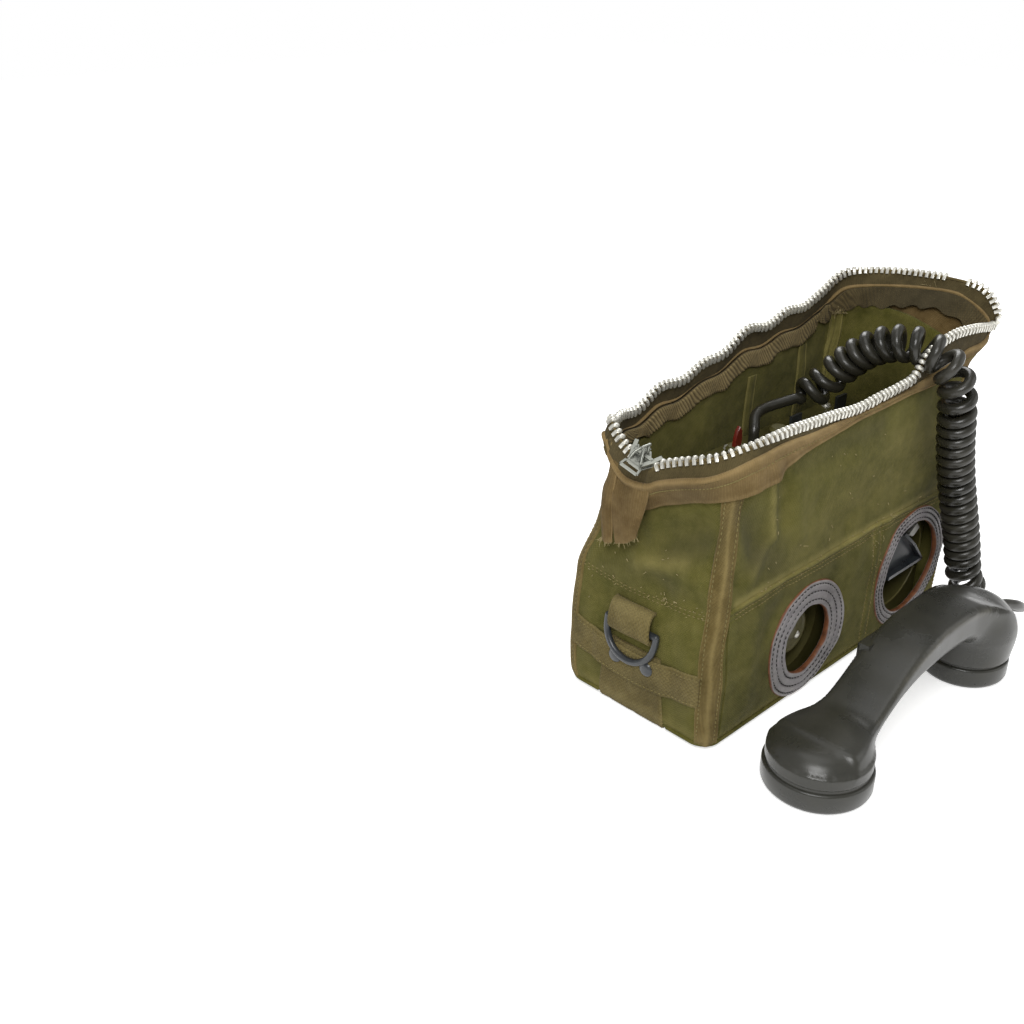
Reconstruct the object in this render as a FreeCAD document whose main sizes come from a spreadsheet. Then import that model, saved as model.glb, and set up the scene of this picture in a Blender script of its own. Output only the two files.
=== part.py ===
import FreeCAD, Part
import bisect
import math
import os
import re

import Sketcher
from FreeCAD import Placement, Rotation, Vector

# A field telephone in its canvas carrying case, the case unzipped and the handset laid in front of it.
# Millimetres. Origin at the middle of the case's base, +Z up, the two round openings face -Y.

doc = FreeCAD.newDocument("field_telephone")
sheet = doc.addObject("Spreadsheet::Sheet", "Dimensions")

DRIVING = {
    # canvas case
    "case_length": 264, "case_depth": 109, "canvas": 2.4, "corner_round": 11,
    "belly": 2, "rim_left": 156, "rim_right": 185, "lean": 6, "drawn_low": 20, "drawn_high": 32,
    "mouth_left": 171, "mouth_right": 219, "mouth_length": 280, "mouth_depth": 102,
    "mouth_shift": 8, "pinch_round": 46, "tape": 2, "seam_height": 96,
    "saddle_round": 70, "saddle_place": 67, "saddle_bottom": 187,
    "binding": 1.2, "binding_width": 13, "webbing": 1.6,
    # zip fastener
    "tooth_pitch": 4.75, "tooth_length": 4.8, "tooth_width": 2.2, "tooth_height": 3.2,
    "slider_length": 17, "slider_width": 12, "slider_height": 7, "plate": 1.4, "slider_shift": 3,
    "pull_length": 24, "tab_width": 26, "tab_drop": 46, "tab_thick": 4.4,
    # carrying hardware on the case ends
    "band_height": 22, "band_foot": 28, "girth_width": 51, "chape_width": 33, "chape_height": 20,
    "chape_thick": 10.5, "ring_wire": 4.4, "ring_round": 19, "ring_bar_height": 64, "rivet_round": 4,
    "rivet_height": 1.8,
    # leather rings round the two openings
    "small_place": -41, "small_height": 42, "small_outer": 40, "small_inner": 23,
    "large_place": 82, "large_height": 47, "large_outer": 44, "large_inner": 33, "leather": 2,
    # telephone housing
    "box_length": 246, "box_depth": 95, "box_foot": 4, "box_top": 128, "box_wall": 3,
    "box_round": 7, "box_near_round": 20,
    "gasket": 1, "panel": 3, "well_wall": 2.5, "crank_well": 33, "crank_well_deep": 26,
    "buzzer_well": 27, "buzzer_well_deep": 13,
    # generator and crank
    "shaft_round": 4, "running": 0.06, "hub_round": 9, "arm_width": 13, "arm_thick": 3.4, "arm_reach": 23,
    "grip_round": 4.6, "grip_length": 40, "pin_round": 1.5, "gear_teeth": 40, "pinion_teeth": 10,
    "module_size": 1.25, "gear_thick": 5, "rotor_round": 14, "rotor_length": 38,
    # panel fittings
    "post_place_a": -30, "post_place_b": 17, "post_row": 15, "post_round": 6.5, "post_height": 19,
    "control_row": -28, "cord_place": 2, "cord_row": 24, "cell_round": 16.5, "cell_height": 60,
    "cell_place": -92, "cell_row": 17.5,
    # handset
    "set_row": -114, "ear_place": -105, "mouth_place": 65, "cap_round": 31, "cap_height": 15,
    "cap_wall": 2.6, "handle_top": 64, "handle_width": 29, "handle_thick": 25, "cord_exit_height": 27,
    # cord
    "wire": 6.5, "curl_round": 9.25, "curl_pitch": 7.25, "curl_gap": 0.8,
}

for row, (alias, value) in enumerate(DRIVING.items(), start=1):
    sheet.set(f"A{row}", alias)
    sheet.set(f"B{row}", str(value))
    sheet.setAlias(f"B{row}", alias)
doc.recompute()


def size(alias):
    """The value that the sheet holds for a driving dimension."""
    return float(sheet.get(alias))


def bound(text):
    """A formula over the sheet's aliases, as an expression for a property."""
    return re.sub(r"[a-z_]{3,}",
                  lambda m: f"Dimensions.{m.group(0)}" if m.group(0) in DRIVING else m.group(0), text)


def place(obj, at=("0", "0", "0"), turn=None):
    if turn is not None:
        obj.Placement = Placement(Vector(0, 0, 0), turn)
    for axis, text in zip("xyz", at):
        obj.setExpression(f"Placement.Base.{axis}", bound(text))
    return obj


def block(name, length, depth, height, at, turn=None):
    """A box with its lowest corner at the given place."""
    obj = doc.addObject("Part::Box", name)
    for prop, text in (("Length", length), ("Width", depth), ("Height", height)):
        obj.setExpression(prop, bound(text))
    return place(obj, at, turn)


ALONG_X = Rotation(Vector(0, 1, 0), 90)
ALONG_Y = Rotation(Vector(1, 0, 0), -90)
FRONTWARD = Rotation(Vector(1, 0, 0), 90)


def rod(name, radius, height, at, turn=None):
    """A cylinder that starts at the given place and runs along +Z before it is turned."""
    obj = doc.addObject("Part::Cylinder", name)
    obj.setExpression("Radius", bound(radius))
    obj.setExpression("Height", bound(height))
    return place(obj, at, turn)


def cone(name, low, high, height, at, turn=None):
    obj = doc.addObject("Part::Cone", name)
    for prop, text in (("Radius1", low), ("Radius2", high), ("Height", height)):
        obj.setExpression(prop, bound(text))
    return place(obj, at, turn)


def ball(name, radius, at):
    obj = doc.addObject("Part::Sphere", name)
    obj.setExpression("Radius", bound(radius))
    return place(obj, at)


def wedge(name, low, high):
    """A straight-sided frustum along Y, floor to past the rim: low and high are (y, x_low, x_high)."""
    obj = doc.addObject("Part::Wedge", name)
    values = {"Ymin": low[0], "Xmin": low[1], "Xmax": low[2], "Ymax": high[0], "X2min": high[1],
              "X2max": high[2],
              "Zmin": "-20", "Z2min": "-20", "Zmax": "300", "Z2max": "300"}
    for prop, text in values.items():
        obj.setExpression(prop, bound(text))
    return obj


def cut(name, base, tool):
    obj = doc.addObject("Part::Cut", name)
    obj.Base, obj.Tool = base, tool
    return obj


def common(name, base, tool):
    obj = doc.addObject("Part::Common", name)
    obj.Base, obj.Tool = base, tool
    return obj


def fuse(name, *shapes):
    obj = doc.addObject("Part::MultiFuse", name)
    obj.Shapes = list(shapes)
    return obj


def group(name, *shapes):
    obj = doc.addObject("Part::Compound", name)
    obj.Links = list(shapes)
    return obj


def rounded_outline(name, length, depth, near, far, at, turn=None):
    """A sketch of a rounded rectangle: near is the radius at its -X end and far at its +X end."""
    sk = doc.addObject("Sketcher::SketchObject", name)
    a, b = 60.0, 30.0
    r1, r2 = 8.0, 8.0
    corners = [(-a + r1, -b + r1, r1, 180), (a - r2, -b + r2, r2, 270), (a - r2, b - r2, r2, 0),
               (-a + r1, b - r1, r1, 90)]
    for x, y, r, start in corners:
        circle = Part.Circle(Vector(x, y, 0), Vector(0, 0, 1), r)
        sk.addGeometry(Part.ArcOfCircle(circle, math.radians(start), math.radians(start + 90)), False)
    sides = [((-a + r1, -b), (a - r2, -b)), ((a, -b + r2), (a, b - r2)), ((a - r2, b), (-a + r1, b)),
             ((-a, b - r1), (-a, -b + r1))]
    for p, q in sides:
        sk.addGeometry(Part.LineSegment(Vector(*p, 0), Vector(*q, 0)), False)
    for k in range(4):
        sk.addConstraint(Sketcher.Constraint("Tangent", k, 2, 4 + k, 1))
        sk.addConstraint(Sketcher.Constraint("Tangent", 4 + k, 2, (k + 1) % 4, 1))
    sk.addConstraint(Sketcher.Constraint("Horizontal", 4))
    sk.addConstraint(Sketcher.Constraint("Vertical", 5))
    sk.addConstraint(Sketcher.Constraint("Horizontal", 6))
    sk.addConstraint(Sketcher.Constraint("Vertical", 7))
    sk.addConstraint(Sketcher.Constraint("Equal", 0, 3))
    sk.addConstraint(Sketcher.Constraint("Equal", 1, 2))
    near_r = sk.addConstraint(Sketcher.Constraint("Radius", 0, r1))
    far_r = sk.addConstraint(Sketcher.Constraint("Radius", 1, r2))
    right = sk.addConstraint(Sketcher.Constraint("DistanceX", -1, 1, 5, 1, a))
    left = sk.addConstraint(Sketcher.Constraint("DistanceX", 7, 1, -1, 1, a))
    back = sk.addConstraint(Sketcher.Constraint("DistanceY", -1, 1, 6, 1, b))
    front = sk.addConstraint(Sketcher.Constraint("DistanceY", 4, 1, -1, 1, b))
    for index, text in ((near_r, near), (far_r, far), (right, f"({length})/2"), (left, f"({length})/2"),
                        (back, f"({depth})/2"), (front, f"({depth})/2")):
        sk.setExpression(f"Constraints[{index}]", bound(text))
    return place(sk, at, turn)


def loft(name, sections, straight=False):
    obj = doc.addObject("Part::Loft", name)
    obj.Sections, obj.Solid, obj.Ruled = sections, True, straight
    return obj


def body_sketch(body, name, role):
    """A sketch on one of a body's own origin planes."""
    sk = body.newObject("Sketcher::SketchObject", name)
    plane = [f for f in body.Origin.OriginFeatures if f.Role == role][0]
    sk.AttachmentSupport = [(plane, "")]
    sk.MapMode = "FlatFace"
    return sk


def turned(name, points, at, turn=None):
    """A body revolved about Z from its half section, whose points are (radius, height) as formulas."""
    body = doc.addObject("PartDesign::Body", name)
    sk = body_sketch(body, name + "_section", "XZ_Plane")
    count = len(points)
    guess = [Vector(20 + 10 * math.cos(2 * math.pi * k / count),
                    20 + 10 * math.sin(2 * math.pi * k / count), 0) for k in range(count)]
    for k in range(count):
        sk.addGeometry(Part.LineSegment(guess[k], guess[(k + 1) % count]), False)
    for k in range(count):
        sk.addConstraint(Sketcher.Constraint("Coincident", k, 2, (k + 1) % count, 1))
    for k, (r, z) in enumerate(points):
        for kind, text, value, axis in (("DistanceX", r, guess[k].x, -2), ("DistanceY", z, guess[k].y, -1)):
            if text == "0":
                sk.addConstraint(Sketcher.Constraint("PointOnObject", k, 1, axis))
                continue
            index = sk.addConstraint(Sketcher.Constraint(kind, -1, 1, k, 1, value))
            sk.setExpression(f"Constraints[{index}]", bound(text))
    spin = body.newObject("PartDesign::Revolution", name + "_turned")
    spin.Profile, spin.ReferenceAxis, spin.Angle = sk, (sk, ["V_Axis"]), 360
    return place(body, at, turn)


KEPT = []


def keep(node, obj):
    """Marks an object as a sub-part of the telephone, under its own label."""
    obj.Label = node
    KEPT.append(obj)
    return obj


def solid_from(node, shape):
    obj = doc.addObject("Part::Feature", node)
    obj.Shape = shape
    return keep(node, obj)


# Canvas case
def case_loft(name, grow):
    """The case's outer form grown by a skin's thickness or shrunk by the canvas; its left end is drawn in."""
    stations = [("0", "case_length - 6", "case_depth - 5", "0", "corner_round"),
                ("3", "case_length - 2", "case_depth - 2", "0", "corner_round"),
                ("9", "case_length", "case_depth", "0", "corner_round"),
                ("70", "case_length + belly", "case_depth + 2 * belly", "0", "corner_round"),
                ("125", "case_length - lean / 2", "case_depth + belly", "lean / 4", "drawn_low"),
                ("190", "case_length - 2 * lean", "case_depth - belly", "lean", "drawn_high")]
    outlines = []
    for k, (z, length, depth, shift, near) in enumerate(stations):
        outlines.append(rounded_outline(f"{name}_{k}", f"{length} + 2 * ({grow})",
                                        f"{depth} + 2 * ({grow})",
                                        f"{near} + ({grow})", f"corner_round + ({grow})", (shift, "0", z)))
    return loft(name, outlines, straight=True)


def slope_angle():
    return math.degrees(math.atan2(size("rim_right") - size("rim_left"), size("case_length")))


def above_rim(name, lift):
    """Everything above the sloping edge of the canvas."""
    return block(name, "700", "400", "300", ("-case_length / 2 - 200", "-200",
                                             f"rim_left + {lift} - 200 * (rim_right - rim_left) / case_length"),
                 Rotation(Vector(0, 1, 0), -slope_angle()))


def canvas_case():
    outer = case_loft("case_outside", "0")
    inner = case_loft("case_inside", "-canvas")
    floor_cut = block("floor_clear", "400", "300", "4", ("-200", "-150", "0"))
    room = cut("case_room", inner, floor_cut)
    shell = cut("case_shell", outer, room)
    walls = cut("case_walls", shell, above_rim("rim_plane", "0"))
    reach = "80 - case_depth / 2"
    wide, mid = f"case_length / 2 + {reach}", "case_length / 2 - case_depth / 2"
    fronts = wedge("front_region", ("-80", f"-({wide})", wide), ("0", f"-({mid})", mid))
    backs = wedge("back_region", ("0", f"-({mid})", mid), ("80", f"-({wide})", wide))
    floor_zone = block("floor_zone", "400", "300", "4", ("-200", "-150", "0"))
    upright = cut("case_upright", walls, floor_zone)
    floor = common("case_floor_full", walls, block("floor_zone_b", "400", "300", "4", ("-200", "-150", "0")))
    groove = block("girth_groove", "400", "girth_width + 0.4", "webbing",
                   ("-200", "2 - girth_width / 2 - 0.2", "0"))
    keep("case_floor", cut("case_floor_grooved", floor, groove))
    front = common("front_wall", upright, fronts)
    holes = fuse("front_holes",
                 rod("small_hole", "small_inner", "60", ("small_place", "-30", "small_height"), FRONTWARD),
                 rod("large_hole", "large_inner", "60", ("large_place", "-30", "large_height"), FRONTWARD))
    keep("case_front_panel", cut("front_holed", front, holes))
    keep("case_back_panel", common("back_wall", upright, backs))
    ends = cut("ends", cut("ends_a", upright, fronts), backs)
    left = block("left_half", "200", "200", "300", ("-200", "-100", "-10"))
    right = block("right_half", "200", "200", "300", ("0", "-100", "-10"))
    keep("case_left_end", common("left_wall", ends, left))
    keep("case_right_end", common("right_wall", ends, right))
    return outer


def corner_bindings(outer):
    """Webbing sewn over the four upright seams."""
    skin = cut("binding_skin", case_loft("binding_outside", "binding"), outer)
    strips = []
    for k, (sx, sy) in enumerate(((-1, -1), (1, -1), (-1, 1), (1, 1))):
        x = "-case_length / 2 - 20" if sx < 0 else "case_length / 2 - binding_width"
        y = "-case_depth / 2 - 20" if sy < 0 else "case_depth / 2 - binding_width"
        strips.append(block(f"corner_zone_{k}", "20 + binding_width", "20 + binding_width", "300",
                            (x, y, "9")))
    zones = group("corner_zones", *strips)
    strips_all = common("corner_strips", skin, zones)
    return cut("corner_strips_trimmed", strips_all, above_rim("binding_top", "-2.5"))


def tilted(z_left, z_right, length):
    angle = math.degrees(math.atan2(size(z_right) - size(z_left), size(length)))
    return Rotation(Vector(0, 1, 0), -angle)


def mouth_band():
    """The zip's two cloth tapes, sewn inside the canvas edge and drawn to a pinch at the slider end."""
    def outline(name, where, grow, lift):
        if where == "foot":
            return rounded_outline(name, f"case_length - lean - 2 * canvas + 2 * ({grow})",
                                   f"case_depth - 2 * canvas + 2 * ({grow})",
                                   f"(drawn_low + drawn_high) / 2 - canvas - 2 + ({grow})",
                                   f"corner_round - 1 + ({grow})",
                                   ("lean / 2", "0",
                                    f"(rim_left + rim_right) / 2 - 9 + {lift}"),
                                   tilted("rim_left", "rim_right", "case_length"))
        return rounded_outline(name, f"mouth_length + 2 * ({grow})", f"mouth_depth + 2 * ({grow})",
                               f"pinch_round + ({grow})", f"corner_round + ({grow})",
                               ("mouth_shift", "0",
                                f"(mouth_left + mouth_right) / 2 + {lift}"),
                               tilted("mouth_left", "mouth_right", "mouth_length"))
    outer = loft("tape_outside", [outline("tape_foot", "foot", "-0.15", "0"),
                                  outline("tape_head", "head", "0", "0")])
    inner = loft("tape_inside", [outline("tape_foot_in", "foot", "-0.15 - tape", "-0.01"),
                                 outline("tape_head_in", "head", "-tape", "0.01")])
    band = cut("tape_band", cut("tape_ring", outer, inner), doc.getObject("case_walls"))
    saddle = rod("cord_saddle", "saddle_round", "80",
                 ("saddle_place", "-20", "saddle_bottom + saddle_round"), FRONTWARD)
    dipped = cut("tape_dipped", band, saddle)
    keep("zipper_tape_front", common("tape_front", dipped,
                                     block("front_side", "500", "200", "400", ("-250", "-200", "-50"))))
    keep("zipper_tape_back", common("tape_back", dipped,
                                    block("back_side", "500", "200", "400", ("-250", "0", "-50"))))


def mouth_point(along):
    """A point of the mouth's edge, its turn and the whole run; along counts from the pinch by the front."""
    half_l, half_d = size("mouth_length") / 2 - size("tape") / 2, size("mouth_depth") / 2 - size("tape") / 2
    near, far = size("pinch_round") - 1, size("corner_round") - 1
    lead = half_d - near
    runs = [lead, near * math.pi / 2, 2 * half_l - near - far, far * math.pi / 2, half_d - far]
    s = along
    if s < runs[0]:
        x, y, t = -half_l, -s, -90
    elif s < sum(runs[:2]):
        a = (s - runs[0]) / near
        x, y, t = -half_l + near - near * math.cos(a), -lead - near * math.sin(a), -90 + math.degrees(a)
    elif s < sum(runs[:3]):
        x, y, t = -half_l + near + s - sum(runs[:2]), -half_d, 0
    elif s < sum(runs[:4]):
        a = (s - sum(runs[:3])) / far
        x, y, t = half_l - far + far * math.sin(a), -half_d + far - far * math.cos(a), math.degrees(a)
    else:
        x, y, t = half_l, -half_d + far + s - sum(runs[:4]), 90
    return x, y, t, sum(runs)


def zip_teeth():
    """Two rows of teeth, clinched on the tapes' edges at the real pitch."""
    lean = math.atan2(size("mouth_right") - size("mouth_left"), size("mouth_length"))
    middle = (size("mouth_left") + size("mouth_right")) / 2
    total = mouth_point(0)[3]
    teeth = []
    for side in (1, -1):
        s = 14.0
        while s < total - 4:
            x, y, t, _ = mouth_point(s)
            spot = Vector(size("mouth_shift") + x * math.cos(lean), side * y, middle + x * math.sin(lean))
            slope = lean
            reach = spot.x - size("saddle_place")
            if side > 0 and abs(reach) < size("saddle_round"):
                curve = size("saddle_round")
                low = size("saddle_bottom") + curve - math.sqrt(curve ** 2 - reach ** 2)
                if low < spot.z:
                    spot.z, slope = low, math.asin(reach / curve)
            tooth = Part.makeBox(size("tooth_width"), size("tooth_length"), size("tooth_height"),
                                 Vector(-size("tooth_width") / 2, -size("tooth_length") / 2, 0))
            tilt = Rotation(Vector(0, 1, 0), -math.degrees(slope))
            tooth.Placement = Placement(spot, tilt.multiply(Rotation(Vector(0, 0, 1), side * t)))
            teeth.append(tooth)
            s += size("tooth_pitch")
    solid_from("zipper_teeth", Part.makeCompound(teeth))


def zip_slider():
    """The slider at the pinched end, its hinged pull and the hanging tab of tape."""
    x0 = "mouth_shift - mouth_length / 2 - 1"
    z0 = "mouth_left - 0.5"
    low = block("slider_low", "slider_width", "slider_length", "plate",
                (f"{x0} - slider_width / 2", "slider_shift - slider_length / 2", z0))
    high = block("slider_high", "slider_width", "slider_length", "plate",
                 (f"{x0} - slider_width / 2", "slider_shift - slider_length / 2",
                  f"{z0} + slider_height - plate"))
    neck = rod("slider_neck", "3", "slider_height", (x0, "slider_shift + 3", z0))
    cheek_a = block("slider_cheek_a", "1.2", "slider_length * 0.6", "slider_height",
                    (f"{x0} - slider_width / 2", "slider_shift - slider_length / 2", z0))
    cheek_b = block("slider_cheek_b", "1.2", "slider_length * 0.6", "slider_height",
                    (f"{x0} + slider_width / 2 - 1.2", "slider_shift - slider_length / 2", z0))
    lug_a = block("slider_lug_a", "1.6", "5", "4.4",
                  (f"{x0} - 3.6", "slider_shift - 2.5", f"{z0} + slider_height - 0.2"))
    lug_b = block("slider_lug_b", "1.6", "5", "4.4",
                  (f"{x0} + 2", "slider_shift - 2.5", f"{z0} + slider_height - 0.2"))
    bar = rod("slider_bar", "0.9", "7", (f"{x0} - 3.5", "slider_shift", f"{z0} + slider_height + 2.6"),
              ALONG_X)
    slider = fuse("slider_whole", low, high, neck, cheek_a, cheek_b, lug_a, lug_b, bar)
    keep("zipper_slider", cut("slider_seated", slider, doc.getObject("tape_band")))
    body = doc.addObject("PartDesign::Body", "pull")
    sk = body_sketch(body, "pull_outline", "XY_Plane")
    frame = [(-1.7, -1.9), (1.7, -1.9), (1.7, 4), (3.6, 7), (3.6, size("pull_length")),
             (-3.6, size("pull_length")), (-3.6, 7), (-1.7, 4)]
    for k, p in enumerate(frame):
        q = frame[(k + 1) % len(frame)]
        sk.addGeometry(Part.LineSegment(Vector(*p, 0), Vector(*q, 0)), False)
    for k in range(len(frame)):
        sk.addConstraint(Sketcher.Constraint("Coincident", k, 2, (k + 1) % len(frame), 1))
    length = sk.addConstraint(Sketcher.Constraint("DistanceY", -1, 1, 4, 1, size("pull_length")))
    sk.setExpression(f"Constraints[{length}]", bound("pull_length"))
    pad = body.newObject("PartDesign::Pad", "pull_pad")
    pad.Profile, pad.Midplane = sk, True
    pad.Length = 1.4
    doc.recompute()
    window = block("pull_window", "3.6", "pull_length - 13", "6", ("-1.8", "9.5", "-3"))
    eye = rod("pull_eye", "1.15", "12", ("-6", "0", "0"), ALONG_X)
    fat_eye = rod("pull_barrel", "1.9", "3.4", ("-1.7", "0", "0"), ALONG_X)
    pull = cut("pull_cut", fuse("pull_with_barrel", body, fat_eye), fuse("pull_openings", window, eye))
    place(pull, (x0, "slider_shift", f"{z0} + slider_height + 2.6"), Rotation(Vector(1, 0, 0), 12))
    keep("zipper_pull", pull)
    tab = block("tab", "tab_thick", "tab_width", "tab_drop",
                (f"{x0} - slider_width / 2 - tab_thick - 0.4", "8 - tab_width / 2",
                 "mouth_left - 4 - tab_drop"))
    bridge = block("tab_bridge", "slider_width + 6", "tab_width - 6", "3",
                   (f"{x0} - slider_width / 2 - tab_thick - 0.4", "8 - tab_width / 2 + 3",
                    "mouth_left - 4"))
    keep("zipper_end_tab", cut("tab_clear", fuse("tab_whole", tab, bridge), doc.getObject("tape_outside")))


def skin(name, thickness, outer):
    """A layer of cloth or leather of the given thickness on the case's outside."""
    return cut(name, case_loft(name + "_form", thickness), outer)


def ring_zones(name, small_radius, large_radius):
    """The two round zones about the case's openings, run through the front."""
    return fuse(name,
                rod(name + "_small", small_radius, "90", ("small_place", "-20", "small_height"), FRONTWARD),
                rod(name + "_large", large_radius, "90", ("large_place", "-20", "large_height"), FRONTWARD))


def case_trim(outer, corners):
    """Leather, webbing and binding sewn on the canvas."""
    holes = ring_zones("openings", "small_inner", "large_inner")
    rings = cut("ring_layer", common("ring_discs", skin("leather_skin", "leather", outer),
                                     ring_zones("ring_outsides", "small_outer", "large_outer")), holes)
    middle = "(small_place + small_outer + large_place - large_outer) / 2"
    keep("small_leather_ring", common("small_ring", rings,
                                      block("ring_side_a", "200", "200", "200",
                                            (f"{middle} - 200", "-150", "-10"))))
    keep("large_leather_ring", common("large_ring", rings,
                                      block("ring_side_b", "200", "200", "200", (middle, "-150", "-10"))))
    clear = ring_zones("ring_clearance", "small_outer + 0.1", "large_outer + 0.1")
    lower = common("lower_front", skin("lower_skin", "0.9", outer),
                   block("lower_zone", "case_length - 2 * binding_width - 1", "60", "seam_height - 9.2",
                         ("binding_width + 0.5 - case_length / 2", "-100", "9.2")))
    keep("front_reinforcement", cut("lower_clear", lower, clear))
    strap_y = "2 - girth_width / 2"
    base_skin = skin("base_skin", "binding", outer)
    base_zone = block("base_zone", "400", "300", "9", ("-200", "-150", "0"))
    base_edge = cut("base_trimmed", common("base_ring", base_skin, base_zone),
                    block("base_gap", "400", "girth_width + 0.4", "20", ("-200", f"{strap_y} - 0.2", "-5")))
    keep("case_bindings", group("bindings", cut("base_clear", base_edge, clear),
                                cut("corners_clear", corners, clear)))
    web = skin("web_skin", "webbing", outer)
    legs = common("strap_legs", web, block("strap_zone", "400", "girth_width", "57",
                                           ("-200", strap_y, "0")))
    sole = block("strap_sole", "case_length - 6 + 2 * webbing", "girth_width", "webbing",
                 ("3 - webbing - case_length / 2", strap_y, "0"))
    strap = fuse("strap_whole", legs, sole)
    edge = "case_depth / 2 - binding_width - 0.5"
    bands = []
    for k, side in enumerate(("-200", "100")):
        bands.append(block(f"band_zone_{k}", "100", f"2 * ({edge})", "band_height",
                           (side, f"-({edge})", "band_foot")))
    band_zone = group("band_zones", *bands)
    side_bands = cut("bands_clear", common("bands_full", web, band_zone),
                     block("band_gap", "400", "girth_width + 0.2", "60",
                           ("-200", f"{strap_y} - 0.1", "10")))
    keep("webbing_straps", group("webbing", strap, side_bands))
    webbed = case_loft("webbed_form", "webbing")
    rivets = []
    for k, (side, y, z) in enumerate((("-1", "13", "39.5"), ("-1", "-12", "41"), ("1", "13", "39.5"),
                                      ("1", "-12", "41"))):
        start = "case_length / 2 - 4"
        if side == "-1":
            start = "-case_length / 2 - belly / 2 - webbing - rivet_height"
        rivets.append(rod(f"rivet_{k}", "rivet_round", "belly / 2 + webbing + rivet_height + 4",
                          (start, y, z), ALONG_X))
    keep("rivets", cut("rivets_seated", group("rivet_rods", *rivets), webbed))


def ring_hardware(outer):
    """A webbing chape on each end and the steel D-ring that turns in it."""
    loops = []
    for node, way in (("left", -1), ("right", 1)):
        bar_x = f"{way} * (case_length / 2 + belly / 2 + 4.6)"
        start = "-case_length / 2 - belly / 2 - chape_thick + 1.6" if way < 0 else "case_length / 2 - 4"
        pad = block(f"chape_{node}", "chape_thick + belly / 2 + 2.4", "chape_width", "chape_height",
                    (start, "2.6 - chape_width / 2", "ring_bar_height - 6.5"))
        bore = rod(f"chape_bore_{node}", "ring_wire / 2 + 0.1", "80", (bar_x, "-40", "ring_bar_height"),
                   ALONG_Y)
        loops.append(cut(f"chape_cut_{node}", cut(f"chape_on_{node}", pad, outer), bore))
        bow = doc.addObject("Part::Torus", f"bow_{node}")
        bow.Angle3 = 180
        for prop, text in (("Radius1", "ring_round"), ("Radius2", "ring_wire / 2")):
            bow.setExpression(prop, bound(text))
        place(bow, ("0", "0", "-4"), FRONTWARD.multiply(Rotation(Vector(0, 0, 1), 180)))
        sides = ("-ring_round", "ring_round")
        legs = [rod(f"leg_{node}_{k}", "ring_wire / 2", "4", (x, "0", "-4")) for k, x in enumerate(sides)]
        knees = [ball(f"knee_{node}_{k}", "ring_wire / 2", (x, "0", "0")) for k, x in enumerate(sides)]
        bar = rod(f"bar_{node}", "ring_wire / 2", "2 * ring_round", ("-ring_round", "0", "0"), ALONG_X)
        ring = fuse(f"ring_{node}", bow, bar, *legs, *knees)
        quarter = Rotation(Vector(0, 0, 1), 90)
        lean = Rotation(Vector(0, 1, 0), -way * 9)
        place(ring, (bar_x, "2.6", "ring_bar_height"), lean.multiply(quarter))
        keep(f"d_ring_{node}", ring)
    keep("d_ring_loops", group("chapes", *loops))


def slab(name, length, depth, near, far, foot, thick):
    """A rounded plate that lies level at the given height."""
    obj = doc.addObject("Part::Extrusion", name)
    obj.Base = rounded_outline(name + "_outline", length, depth, near, far, ("0", "0", foot))
    obj.DirMode = "Custom"
    obj.Dir = Vector(0, 0, 1)
    obj.Solid = True
    obj.setExpression("LengthFwd", bound(thick))
    return obj


SCREWS = [(-118.8, -20), (-118.8, 20), (117, -41.5), (117, 41.5), (0, -42), (0, 42)]
TOP = "box_top"
DECK = "box_top - panel"


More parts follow.
